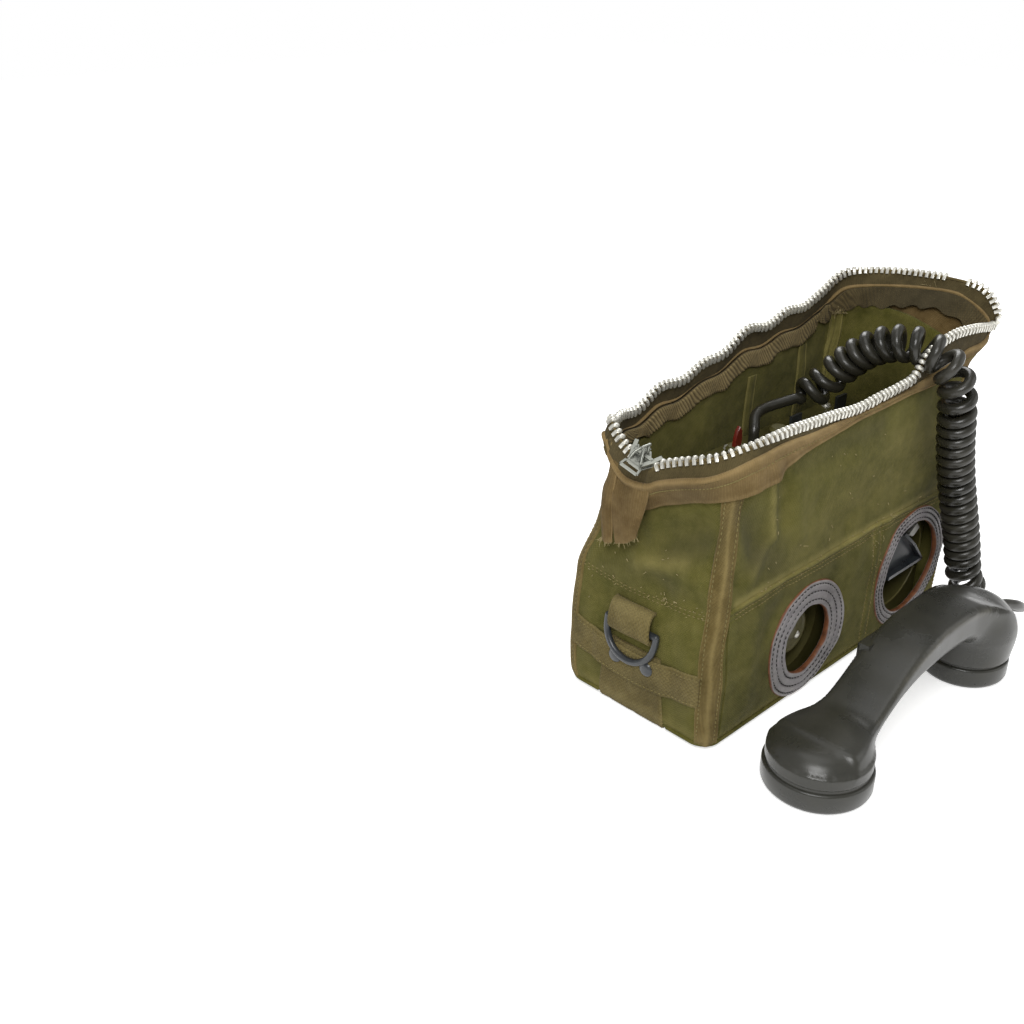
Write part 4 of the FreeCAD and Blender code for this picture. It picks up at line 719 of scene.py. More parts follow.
# The mouth: for each station the canvas's edge as side, place and height, then the welt and the zip's edge
mouthStations = [
    (("left", 4, 141), (-134.5, 1.6, 156.4), (-131.5, 1, 168)),
    (("left", -6, 147), (-132.5, -7, 160.5), (-129, -8, 172)),
    (("left", -18, 152), (-131, -21, 166), (-126, -23, 177.5)),
    (("left", -33, 158), (-128, -37, 171), (-120, -36, 181.5)),
    (("front", -121, 162.5), (-121, -46.5, 176), (-112, -43, 185)),
    (("front", -111, 164), (-112, -51.5, 180), (-103, -47.5, 187.5)),
    (("front", -97, 166), (-99, -53, 181.5), (-90, -50, 189.3)),
    (("front", -80, 171.5), (-77, -52, 182), (-73, -51, 189.8)),
    (("front", -57, 174.5), (-53, -51.5, 181), (-51, -51, 188.3)),
    (("front", -33, 176), (-27, -51, 179.9), (-28, -51, 186.7)),
    (("front", -8, 177), (-1, -50.5, 179), (-5, -51.5, 184.6)),
    (("front", 18, 177.5), (24, -51, 179.5), (18, -52.5, 186.3)),
    (("front", 42, 178), (48, -51, 180.3), (38, -53.5, 187.8)),
    (("front", 64, 178.5), (67, -52, 182), (54, -54, 190.5)),
    (("front", 85, 179), (84, -53, 185.5), (64, -54.5, 201)),
    (("front", 104, 179.5), (100, -54, 189.5), (77, -55, 206.3)),
    (("front", 118, 180), (119, -55, 192.8), (96, -56, 210)),
    (("right", -49, 181), (137, -56, 193.5), (121, -57, 208.6)),
    (("right", -42, 184), (148, -54, 196), (152, -55, 203.9)),
    (("right", -36, 187), (150, -52, 205), (154, -55.5, 212)),
    (("right", -28, 191), (147, -46, 213), (151.5, -51, 221.5)),
    (("right", -20, 194), (144, -38, 219), (149, -43.5, 227.8)),
    (("right", -10, 197), (142, -28, 222), (147, -32, 230)),
    (("right", 0, 199), (140, -10, 221.5), (145, -12, 230.6)),
    (("right", 14, 200), (137.5, 10, 219.5), (143, 13, 229)),
    (("right", 30, 199), (134, 30, 216.5), (139, 34, 226.5)),
    (("right", 42, 197), (129, 46, 212), (131, 46, 225)),
    (("back", 120, 192), (119, 53, 203), (122, 50, 221)),
    (("back", 104, 184), (104, 54.5, 197), (105, 51, 212.5)),
    (("back", 78, 178), (77, 55, 191), (78, 51, 207)),
    (("back", 46, 175), (46, 55.5, 188), (47, 51.5, 204.5)),
    (("back", 12, 169.5), (12, 56, 183), (13, 52.5, 199)),
    (("back", -18, 162), (-18, 56, 175.5), (-17, 53, 188.5)),
    (("back", -46, 158), (-46, 55.5, 172), (-44, 52.5, 186.5)),
    (("back", -70, 153), (-72, 55, 167), (-73, 53, 180)),
    (("back", -84, 150), (-95, 53, 165), (-97, 50.5, 176.8)),
    (("left", 28, 148), (-117, 44, 167), (-116, 42.5, 179.5)),
    (("left", 20, 146), (-131.5, 36, 177), (-127.5, 34.5, 186)),
    (("left", 14, 143), (-134.5, 28, 166), (-132, 23.5, 179.5)),
    (("left", 9, 141), (-136, 16, 157), (-132.5, 13.5, 173)),
]


def mouthTurns():
    edges = [edge for edge, _, _ in mouthStations]
    turns = [float(toTurn(sidePlace(side, float(q), float(z)), float(z))) for side, q, z in edges]
    for k in range(1, len(turns)):
        while turns[k] < turns[k - 1] - 4:
            turns[k] += 8
    return turns


stationTurns = mouthTurns()


ripple = {"height": 2.6, "length": 44, "from": -74, "middle": 32, "spread": 3.6}


def mouthCurves(count):
    # round the mouth: turn and height of the canvas's edge, then that edge, the welt and the zip's edge
    marks = np.linspace(0, len(mouthStations), count, endpoint=False)
    rows = [(turn, low[2]) for turn, (low, _, _) in zip(stationTurns, mouthStations)]
    rows = [(t - 8, z) for t, z in rows[-2:]] + rows + [(t + 8, z) for t, z in rows[:3]]
    padded = np.column_stack([rows, np.zeros(len(rows))])
    spread = curveThrough(padded, marks + 2, closed=False)
    edge = onTurn(spread[:, 0], spread[:, 1])[0]
    welt = curveThrough([w for _, w, _ in mouthStations], marks)
    zipEdge = curveThrough([c for _, _, c in mouthStations], marks)
    wave = np.sin((zipEdge[:, 0] - ripple["from"]) / ripple["length"] * 2 * math.pi)
    rippled = ripple["height"] * np.exp(-((marks - ripple["middle"]) / ripple["spread"]) ** 6) * wave
    welt[:, 2] += 0.7 * rippled
    zipEdge[:, 2] += rippled
    return spread[:, 0], spread[:, 1], edge, welt, zipEdge


mouth = mouthCurves(1200)
mouthOrder = np.argsort(mouth[0] % 8)


def mouthAt(turn, which):
    # the mouth's edge height (1), welt (3) or zip edge (4) above a place on the outline
    places = mouth[0][mouthOrder] % 8
    values = mouth[which][mouthOrder]
    if values.ndim == 1:
        return np.interp(turn, places, values, period=8)
    return np.stack([np.interp(turn, places, values[:, k], period=8) for k in range(3)], -1)


# The canvas walls, each from corner to corner and from the foot to the mouth

walls = {
    "front": {"turns": (-0.5, 1.5), "columns": 210, "stands": ["case_front_panel"]},
    "right": {"turns": (1.5, 3.5), "columns": 90, "stands": ["case_right_end"]},
    "back": {"turns": (3.5, 5.5), "columns": 170, "stands": ["case_back_panel"]},
    "left": {"turns": (5.5, 7.5), "columns": 130, "stands": ["case_left_end"]},
    "rows": 120, "tuck": 5.0,
}
rings = {
    "small": {"place": -41, "height": 41.5, "outer": 40, "inner": 23.2},
    "large": {"place": 82, "height": 47, "outer": 44, "inner": 33.3},
    "thick": 2.3, "cut": 3, "steps": 220, "grooves": (0.22, 0.55, 0.84), "stitch": 3.3,
}

# Paler and darker lines on the case: from, to, half width, strength. The paler lines are wear, and on outward
# folds' crests also a painted highlight; the darker lines are soiled places, and in the deepest dents painted
# shade
wornAndLitLines = [
    ((-118, -57, 97), (120, -57, 97), 3, 0.9), ((-124, -55, 6), (126, -55, 6), 5, 0.6),
    # both lines below run on the crests of outward folds: wear, and a painted highlight
    ((-91, -57, 166), (-88, -57, 130), 2.5, 0.8), ((-88, -57, 132), (-104, -57, 112), 3, 0.5),
    # the first line below is wear and a painted highlight on the left end's bulge; the second is wear along
    # its foot
    ((-133, -30, 118), (-134, 4, 106), 5, 0.6), ((-134, -52, 8), (-134, 52, 8), 5, 0.5),
    ((40, -57, 150), (90, -57, 140), 14, 0.35), ((10, -57, 120), (70, -57, 118), 16, 0.3),
    ((-60, -57, 110), (10, -57, 130), 18, 0.25), ((28, -57, 20), (28, -57, 90), 2, 0.5),
    ((36, -57, 20), (36, -57, 90), 2, 0.5),
]
soiledAndShadedLines = [
    # the first line below paints shade in the deep dent near the front's left corner
    ((-112, -57, 150), (-100, -57, 122), 12, 0.75), ((-90, -57, 120), (-80, -57, 110), 10, 0.4),
    # the first line below paints shade in the deep dent on the left end, under the tape
    ((-130, -40, 136), (-133, -14, 126), 12, 0.6), ((-131, -20, 100), (-133, 30, 96), 10, 0.3),
    # the first line below paints shade in the inward fold below the mouth tape
    ((-60, -57, 166), (20, -57, 168), 7, 0.35), ((60, -57, 88), (110, -57, 98), 8, 0.4),
    ((-85, -57, 80), (-20, -57, 90), 8, 0.3), ((-134, -40, 30), (-134, 40, 26), 10, 0.3),
]


def lineMarks(points, lines):
    total = np.zeros(points.shape[:-1])
    for a, b, width, strength in lines:
        total = np.maximum(total, nearLine(points, a, b, width) * strength)
    return total


def caseMarks(points):
    return {"wearAndHighlight": lineMarks(points, wornAndLitLines), "dirtAndShade": lineMarks(points, soiledAndShadedLines)}


def wallGrid(turns, rows):
    # outer and inner points of the canvas over the given columns, the last rows leaning in under the tape
    top = mouthAt(turns % 8, 1)
    part = np.linspace(0, 1, rows)[:, None]
    z = caseForm["foot"] + (top - caseForm["foot"])[None, :] * part
    turn = np.broadcast_to(turns[None, :], z.shape)
    outer, normals = onTurn(turn % 8, z)
    inner = outer - normals * caseForm["canvas"]
    lean = unit(mouthAt(turns % 8, 3) - outer[-1])
    across = unit(np.gradient(outer[-1], axis=0))
    face = unit(np.cross(across, lean))
    for k in (1, 2, 3):
        reach = lean * walls["tuck"] * k / 3 - face * 0.5
        outer = np.concatenate([outer, (outer[rows - 1] + reach)[None]])
        inner = np.concatenate([inner, (inner[rows - 1] + reach)[None]])
        z = np.concatenate([z, z[rows - 1:rows] + walls["tuck"] * k / 3])
    run = runLength(outer[20])
    cloth = np.stack([np.broadcast_to(run, z.shape), z], -1)
    return outer, inner, cloth


def clearOfRings(x, z):
    # the cells of a grid whose middles lie outside both openings
    x, z = [(grid[:-1, :-1] + grid[1:, 1:]) / 2 for grid in (x, z)]
    keep = np.ones(x.shape, bool)
    for ring in (rings["small"], rings["large"]):
        keep &= np.hypot(x - ring["place"], z - ring["height"]) > ring["inner"] + rings["cut"]
    return keep


def makeWalls():
    for side in ("front", "right", "back", "left"):
        part = walls[side]
        turns = np.linspace(*part["turns"], part["columns"])
        outer, inner, cloth = wallGrid(turns, walls["rows"])
        keep = clearOfRings(outer[..., 0], outer[..., 2]) if side == "front" else None
        found = caseMarks(outer)
        wall = sheetSolid("canvas_" + side, outer, inner, canvas, cloth, keep, marks=found, sharp=50)
        addPiece(wall, part["stands"])


bottom = {"steps": 180, "scales": [1.0, 0.985, 0.96, 0.9, 0.8, 0.65, 0.5, 0.35, 0.2, 0.08], "low": 0.35,
          "rim": 0.9,
          "overStrap": 1.5}


def makeFloor():
    turns = np.linspace(0, 8, bottom["steps"], endpoint=False)
    rim, _ = onTurn(turns, np.full(bottom["steps"], caseForm["foot"]))
    scale = np.array(bottom["scales"])[:, None, None]
    middle = np.array(caseForm["middle"])
    lower = middle + (rim - middle)[None] * scale
    lower[..., 2] = bottom["low"] + bottom["rim"] * (scale[..., 0] > 0.99)
    under = np.abs(lower[..., 1] - girth["middle"]) < girth["width"] / 2 + 1
    lower[..., 2] = np.where(under & (scale[..., 0] < 0.97), bottom["overStrap"], lower[..., 2])
    upper = lower + np.array([0, 0, caseForm["canvas"]])
    lower = np.concatenate([lower, np.broadcast_to(lower[-1].mean(0), (1, bottom["steps"], 3))])
    upper = np.concatenate([upper, np.broadcast_to(upper[-1].mean(0), (1, bottom["steps"], 3))])
    floor = sheetSolid("canvas_floor", lower, upper, canvas, lower[..., :2], wrap=True, sharp=50)
    editMesh(floor, lambda bm: bmesh.ops.remove_doubles(bm, verts=bm.verts, dist=1e-6))
    addPiece(floor, ["case_floor"])


# Webbing, bindings and stitches on the canvas

girth = {"middle": 2, "width": 52, "top": 50, "thick": 1.7}
corners = {"half": 6.9, "thick": 1.5, "foot": 3.0, "row": 4.7, "stitch": 3.1, "welt": 1.5, "weltSteps": 420}
band = {"foot": 27.5, "top": 49, "sag": 5.0, "bow": 43, "thick": 1.7, "end": 50, "rib": 2.1}
lowerFront = {"foot": 8.5, "top": 96.5, "left": -124, "right": 124, "thick": 1.0, "rows": (4.0, 7.0),
              "seams": (28, 36)}
stitchRows = []


def skinSheet(name, s, z, lift, thick, material, marks=None, cloth=None, keep=None):
    # a layer sewn on the case: s and z are grids of places, lift how far its outer face stands out
    turn = toTurn(s, z)
    outer, _ = onTurn(turn, z, lift)
    inner, _ = onTurn(turn, z, np.asarray(lift) - thick)
    if cloth is None:
        cloth = np.stack([s, z], -1)
    found = caseMarks(outer)
    for key, values in (marks or {}).items():
        found[key] = np.clip(found[key] + values, 0, 1)
    return sheetSolid(name, outer, inner, material, cloth, keep, marks=found, sharp=50)


def edgeDrop(distance, soft=1.1):
    # one away from a cloth's edge, falling round to zero at it
    d = np.clip(distance / soft, 0, 1)
    return np.sqrt(np.clip(1 - (1 - d) ** 2, 0, 1))


def cornerPlace(name, z):
    ends, _ = breaks(z)
    k = {"frontRight": 0, "backRight": 2, "backLeft": 4, "frontLeft": 6}[name]
    return (ends[k] + ends[k + 1]) / 2


def makeCornerBindings():
    strips = []
    for name, turn in (("frontRight", 1.5), ("backRight", 3.5), ("backLeft", 5.5), ("frontLeft", 7.5)):
        top = float(mouthAt(np.array([turn]), 1)[0]) - 0.5
        z = np.linspace(corners["foot"], top, 120)[:, None]
        off = np.linspace(-corners["half"], corners["half"], 25)[None, :]
        wobble = 0.5 * np.sin(z / 17.0 + turn) + 0.3 * np.sin(z / 6.0)
        s = cornerPlace(name, z) + off + wobble
        z = np.broadcast_to(z, s.shape)
        rim = edgeDrop(corners["half"] + 0.01 - np.abs(np.broadcast_to(off, s.shape)))
        groove = np.exp(-((np.abs(off) - corners["row"]) / 0.8) ** 2) * 0.5
        lift = 0.1 + (corners["thick"] - groove + 0.5 * np.exp(-(off / 1.4) ** 2)) * rim
        wearAndHighlight = 0.6 * np.exp(-(off / 1.3) ** 2) + 0.4 * (rim < 0.9) + 0 * z
        strips.append(skinSheet("binding_" + name, s, z, lift, corners["thick"], binding, {"wearAndHighlight": wearAndHighlight}))
        for side in (-corners["row"], corners["row"]):
            zs = np.arange(corners["foot"] + 3, top - 2, corners["stitch"])
            stitchRows.append((cornerPlace(name, zs) + side, zs, corners["thick"] - 0.15))
    turns = np.linspace(0, 8, corners["weltSteps"], endpoint=False)
    line, _ = onTurn(turns, np.full(corners["weltSteps"], 4.0), 0.2)
    gap = (np.abs(line[:, 1] - girth["middle"]) < girth["width"] / 2 + 1.5) & (np.abs(line[:, 0]) > 120)
    radius = np.where(gap, 0.5, corners["welt"])  # thin where the strap passes over it
    welt = sweepSolid("base_welt", tubeSections(line, radius, 8, closed=True), canvas, closed=True)
    strips.append(welt)
    for strip in strips[:-1]:
        addPiece(strip)
    addPiece(welt, ["case_bindings"])


def seamHeight(x):
    return lowerFront["top"] + 0.6 * np.sin(x / 23.0) - 0.00018 * (x + 10) ** 2


def makeLowerFront():
    # the doubled canvas below the seam, with its raised edge and the sewn pocket line between the openings
    x = np.linspace(lowerFront["left"], lowerFront["right"], 260)[None, :]
    part = np.linspace(0, 1, 110)[:, None]
    top = seamHeight(x)
    z = lowerFront["foot"] + (top - lowerFront["foot"]) * part
    x = np.broadcast_to(x, z.shape)
    gap = top - z
    lift = lowerFront["thick"] + 0.7 * np.exp(-((gap - 1.4) / 1.5) ** 2)
    for row in lowerFront["rows"]:
        lift = lift - 0.35 * np.exp(-((gap - row) / 0.8) ** 2)
    for seam in lowerFront["seams"]:
        lift = lift - 0.4 * np.exp(-((x - seam) / 0.9) ** 2)
    lift = lift + 0.35 * np.exp(-((x - 32) / 2.6) ** 2)
    lift = lift * edgeDrop(np.minimum(gap, 3) + 0.25)
    s = sidePlace("front", x, z)
    sheet = skinSheet("lower_front", s, z, lift, lowerFront["thick"] + 0.4, canvas,
                      cloth=np.stack([x, z], -1), keep=clearOfRings(x, z))
    addPiece(sheet, ["front_reinforcement"])
    for drop in lowerFront["rows"]:
        xs = np.arange(lowerFront["left"] + 6, lowerFront["right"] - 4, 3.0)
        zs = seamHeight(xs) - drop
        stitchRows.append((sidePlace("front", xs, zs), zs, lowerFront["thick"] - 0.05))
    for seam in lowerFront["seams"]:
        zs = np.arange(12, 90, 3.0)
        stitchRows.append((sidePlace("front", np.full_like(zs, seam), zs), zs, lowerFront["thick"] - 0.1))
    for z0, rise in ((90.5, 0.0), (87.5, 0.5)):
        ys = np.arange(-46, 46, 3.4)
        zs = z0 - 3.6 * np.cos(ys / 46 * math.pi / 2) + rise
        stitchRows.append((sidePlace("left", ys, zs), zs, 0.05))


def ribbed(distance, pitch, height):
    return height * np.abs(np.sin(distance * math.pi / pitch)) ** 0.7


def bandSag(y):
    return band["sag"] * (np.cos(y / band["bow"] * math.pi / 2) - 0.5)


def overGirth(y):
    # how far the band stands out where it passes over the upright strap
    return girth["thick"] * ease((girth["width"] / 2 + 7 - np.abs(y - girth["middle"])) / 8)


def makeWebbing():
    pieces = []
    for side in ("left", "right"):
        y = np.linspace(-band["end"], band["end"], 140)[None, :]
        part = np.linspace(0, 1, 40)[:, None]
        z = band["foot"] + (band["top"] - band["foot"]) * part - bandSag(y)
        y = np.broadcast_to(y, z.shape)
        across = part * (band["top"] - band["foot"])
        rim = edgeDrop(np.minimum(across, band["top"] - band["foot"] - across) + 0.1)
        lift = overGirth(y) + (band["thick"] + ribbed(across, band["rib"], 0.3)) * (0.3 + 0.7 * rim)
        cloth = np.stack([y, np.broadcast_to(across, z.shape)], -1)
        edgeWear = np.broadcast_to(0.5 * (rim < 0.8), z.shape)
        s = sidePlace(side, y, z)
        found = {"wearAndHighlight": edgeWear}
        pieces.append(skinSheet(f"band_{side}", s, z, lift, band["thick"], webbing, found, cloth))
        for row in (2.2, band["top"] - band["foot"] - 2.2):
            ys = np.arange(3 - band["end"], band["end"] - 2, 3.0)
            zs = band["foot"] + row - bandSag(ys)
            stitchRows.append((sidePlace(side, ys, zs), zs, band["thick"] + 0.25 + overGirth(ys)))
        y = girth["middle"] + np.linspace(-girth["width"] / 2, girth["width"] / 2, 52)[None, :]
        z = np.linspace(1.3, girth["top"], 50)[:, None]
        taper = 1 - 0.16 * ease(z / girth["top"])
        y = girth["middle"] + (y - girth["middle"]) * taper
        z = np.broadcast_to(z, y.shape)
        across = (y - girth["middle"]) / taper
        rim = edgeDrop(girth["width"] / 2 + 0.05 - np.abs(across))
        diagonal = 0.35 * np.exp(-(((across * 0.8 + z - 24) % 16 - 8) / 1.6) ** 2)
        lift = (girth["thick"] + ribbed(across, band["rib"], 0.3) - diagonal) * (0.25 + 0.75 * rim)
        cloth = np.stack([z, across], -1)
        wearAndHighlight = 0.5 * (rim < 0.8) + 0.2 * diagonal
        s = sidePlace(side, y, z)
        pieces.append(skinSheet(f"girth_{side}", s, z, lift, girth["thick"], webbing, {"wearAndHighlight": wearAndHighlight},
                                cloth))
    x = np.linspace(-127.5, 133.5, 60)[None, :]
    y = girth["middle"] + np.linspace(-girth["width"] / 2, girth["width"] / 2, 52)[:, None]
    height = 0.05 + ribbed(y - girth["middle"], band["rib"], 0.15)
    lower = np.stack(np.broadcast_arrays(x, y, height), -1)
    lower[..., 2] += np.where(np.abs(x - 3) > 128, 1.3, 0)
    upper = lower + np.array([0, 0, 1.4])
    pieces.append(sheetSolid("girth_sole", lower, upper, webbing, lower[..., :2], sharp=50))
    for piece in pieces[:-1]:
        addPiece(piece)
    addPiece(pieces[-1], ["webbing_straps"])


# The loops' outer and inner lines are distances out from the bar and up from it
chape = {
    "middle": 2.6, "width": 32, "bar": 64, "wall": 133, "reach": 4.6, "rows": 44, "columns": 64,
    "outer": [(-4.4, 13.6), (-2.8, 14.8), (0.2, 14.2), (2.6, 11.6), (4.2, 7.0), (4.9, 2.0), (4.6, -2.6),
              (3.0, -5.6),
              (0.4, -6.4), (-2.0, -5.4), (-3.6, -3.2)],
    "inner": [(-4.4, 11.6), (-2.6, 12.6), (-0.4, 12.0), (1.2, 9.8), (2.5, 6.4), (3.0, 2.0), (2.8, -1.8),
              (1.8, -3.9),
              (0.2, -4.4), (-1.6, -3.6), (-3.0, -2.0)],
}


def chapeGrid(way, y, layer):
    profile = [(out, 0, up) for out, up in chape[layer]]
    line = curveThrough(profile, np.linspace(0, len(profile) - 1, chape["rows"]), closed=False)
    pinch = 1 - 0.05 * np.cos(np.linspace(0, math.pi, chape["rows"]))[:, None]
    x = way * (chape["wall"] + chape["reach"]) + way * line[:, None, 0] + 0 * y[None, :]
    if layer == "outer":
        edge = edgeDrop(chape["width"] / 2 + 0.05 - np.abs(y - chape["middle"]), 1.6)[None, :]
        ribs = ribbed(y - chape["middle"], band["rib"], 0.35)[None, :] + 0.3 * np.sin(y / 5)[None, :]
        x = x + way * (ribs * edge - (1 - edge) * 0.8)
    across = chape["middle"] + (y[None, :] - chape["middle"]) * pinch
    return np.stack([x, across, chape["bar"] + line[:, None, 2] + 0 * x], -1)


def makeChapes():
    # a length of webbing folded down over each ring's bar and sewn to the band at both its ends
    pieces = []
    for side, way in (("left", -1), ("right", 1)):
        y = chape["middle"] + np.linspace(-chape["width"] / 2, chape["width"] / 2, chape["columns"])
        run = np.linspace(0, 42, chape["rows"])[:, None] + 0 * y[None, :]
        cloth = np.stack([run, y[None, :] + 0 * run], -1)
        wearAndHighlight = 0.5 * np.exp(-((run - 10) / 6) ** 2)
        outer, inner = [chapeGrid(way, y, layer) for layer in ("outer", "inner")]
        found = {"wearAndHighlight": wearAndHighlight, "dirtAndShade": 0 * wearAndHighlight}
        pieces.append(sheetSolid(f"chape_{side}", outer, inner, webbing, cloth, marks=found, sharp=50))
    addPiece(pieces[0])
    addPiece(pieces[1], ["d_ring_loops"])


rivetProfile = [(0.02, -2), (3.2, -2), (3.2, 0), (4.6, 0), (4.8, 0.35), (4.4, 1.1), (3.2, 1.8),
                (1.6, 2.15), (0.02, 2.25)]


def makeRivets():
    heads = []
    for way, y, z in ((-1, 13, 39.5), (-1, -12, 41), (1, 13, 39.5), (1, -12, 41)):
        side = "left" if way < 0 else "right"
        spot = onSkin(side, float(y), float(z), band["thick"] + girth["thick"] + 0.2)[0]
        heads.append(latheSolid(f"rivet_{side}_{y}", rivetProfile, blackSteel, spot, (way, 0, 0), 32))
    addPiece(joined("rivet_heads", heads), ["rivets"])


def makeStitches():
    # every sewn row on the case as small raised threads that dip in at both ends
    spots, ways, outs = [], [], []
    for s, z, lift in stitchRows:
        turn = toTurn(s, z)
        p, n = onTurn(turn, z, lift)
        spots.append(p)
        ways.append(unit(np.gradient(p, axis=0)))
        outs.append(n)
    rows = [np.concatenate(parts) for parts in (spots, ways, outs)]
    addPiece(threadBeads("case_stitches", *rows, thread))


def threadBeads(name, spots, ways, outs, material, length=2.1, width=0.42, tall=0.42):
    across = unit(np.cross(ways, outs))
    rings = [(-0.5, 0.25, -0.35), (-0.3, 0.85, 0.0), (0.0, 1.0, 0.12), (0.3, 0.85, 0.0), (0.5, 0.25, -0.35)]
    angle = np.linspace(0, 2 * math.pi, 6, endpoint=False)
    points, faces = [], []
    for along, size, rise in rings:
        middle = spots + ways * (along * length) + outs * (rise * 0.7)
        ring = (across[:, None] * (np.cos(angle) * width * size)[None, :, None]
                + outs[:, None] * (np.sin(angle) * tall * size)[None, :, None])
        points.append(middle[:, None] + ring)
    points = np.stack(points, 1).reshape(-1, 3)
    for n in range(len(spots)):
        first = n * 30
        faces += loopFaces(5, 6, False, first)
        faces.append(tuple(range(first, first + 6)))
        faces.append(tuple(range(first + 24, first + 30)))
    return makeObject(name, points, faces, material)


# Leather rings round the two openings

ringStitches = []


def makeRing(name, ring, node):
    angle = np.linspace(0, 2 * math.pi, rings["steps"], endpoint=False)[:, None]
    r0, r1, top = ring["inner"], ring["outer"], rings["thick"]
    grooves = [r0 + (r1 - r0) * part for part in rings["grooves"]]
    flat = np.linspace(r0 + 0.7, r1 - 0.7, 44)
    section = [(r0 + 2.2, -1.6), (r0 + 0.7, -1.6), (r0 + 0.3, -1.0), (r0, 0.8), (r0 + 0.25, 1.7)]
    section += [(r, top) for r in flat]
    section += [(r1 - 0.2, 1.8), (r1, 1.1), (r1 - 0.1, 0.1), (r1 - 1.2, -0.4), (r0 + 2.6, -0.5)]
    r = np.array([p[0] for p in section])[None, :]
    lift = np.array([p[1] for p in section])[None, :]
    for groove in grooves:
        lift = lift - np.where(lift > top - 0.01, 0.75 * np.exp(-((r - groove) / 0.6) ** 2), 0)
    bumps = 0.25 * np.sin(angle * 5 + ring["place"]) + 0.15 * np.sin(angle * 11)
    lift = lift + np.where(lift > 0.5, bumps, 0)
    wobble = 1 + 0.004 * np.sin(angle * 3 + 1.0) + 0.003 * np.sin(angle * 7)
    x = ring["place"] + r * np.cos(angle) * wobble
    z = ring["height"] + r * np.sin(angle) * wobble
    s = sidePlace("front", x, z)
    points, _ = onTurn(toTurn(s, z), z, lift)
    edge = (r < r0 + 0.6) | (r > r1 - 0.5)
    edge = np.broadcast_to(np.where(edge, 1.0, 0.0), z.shape)
    wearAndHighlight = 0.25 + 0.35 * np.exp(-((r - r1 + 2) / 1.8) ** 2) + 0 * angle
    cloth = np.stack([x, z], -1)
    found = {"edge": edge, "wearAndHighlight": wearAndHighlight, "dirtAndShade": 0 * wearAndHighlight}
    addPiece(sweepSolid(name, points, leather, cloth, closed=True, marks=found, sharp=60), [node])
    for groove in grooves:
        count = int(2 * math.pi * groove / rings["stitch"])
        a = np.linspace(0, 2 * math.pi, count, endpoint=False)
        xs, zs = ring["place"] + groove * np.cos(a), ring["height"] + groove * np.sin(a)
        p, n = onTurn(toTurn(sidePlace("front", xs, zs), zs), zs, top - 0.35)
        ways = np.stack([-np.sin(a), 0 * a, np.cos(a)], -1)
        ringStitches.append((p, ways, n))


def makeRings():
    makeRing("ring_small", rings["small"], "small_leather_ring")
    makeRing("ring_large", rings["large"], "large_leather_ring")
    parts = [np.concatenate([row[k] for row in ringStitches]) for k in range(3)]
    addPiece(threadBeads("ring_stitches", *parts, darkThread, length=2.3))


# The mouth's edging: brown tape folded over the canvas's edge, the zip's tape above and a ribbed band inside

def mouthFrame(count):
    turn, height, edge, welt, zipEdge = mouthCurves(count)
    way = unit(np.roll(welt, -1, 0) - np.roll(welt, 1, 0))
    rise = welt - edge
    up = unit(rise - way * np.sum(rise * way, 1)[:, None])
    out = np.cross(way, up)
    away = (welt - np.array(caseForm["middle"])) * np.array([1, 1, 0])
    out = out * np.sign(np.sum(out * away, 1))[:, None]
    return {"edge": edge, "welt": welt, "zip": zipEdge, "wall": onTurn(turn % 8, height)[1], "way": way,
            "out": out,
            "up": unit(rise), "tall": np.linalg.norm(rise, axis=1), "run": runLength(welt),
            "marks": np.linspace(0, len(mouthStations), count, endpoint=False)}


def fromFrame(f, d, m):
    # points at heights d above the canvas's edge and distances m outside the line up to the welt
    below = ease(-d / 6.0 + 0.15)[..., None]
    up = f["up"][:, None] * (1 - below) + np.array([0.0, 0.0, 1.0]) * below
    out = unit(f["out"][:, None] * (1 - below) + f["wall"][:, None] * below)
    return f["edge"][:, None] + up * d[..., None] + out * m[..., None]


# Shares are parts of the way from the canvas's edge up to the welt, outside and then inside
mouthTape = {
    "thick": 1.7, "round": 1.9, "row": 5.0, "steps": 900, "stitch": 3.1,
    "outside": [-0.12, -0.09, 0.0, 0.08, 0.18, 0.28, 0.38, 0.48, 0.56, 0.62, 0.68, 0.73, 0.78, 0.83, 0.88,
                0.92, 0.96],
    "inside": [0.96, 0.8, 0.55, 0.3, 0.1, -0.12],
}
mouthThreads = []


def around(marks, middle, width):
    return np.exp(-((marks - middle) / width) ** 2)


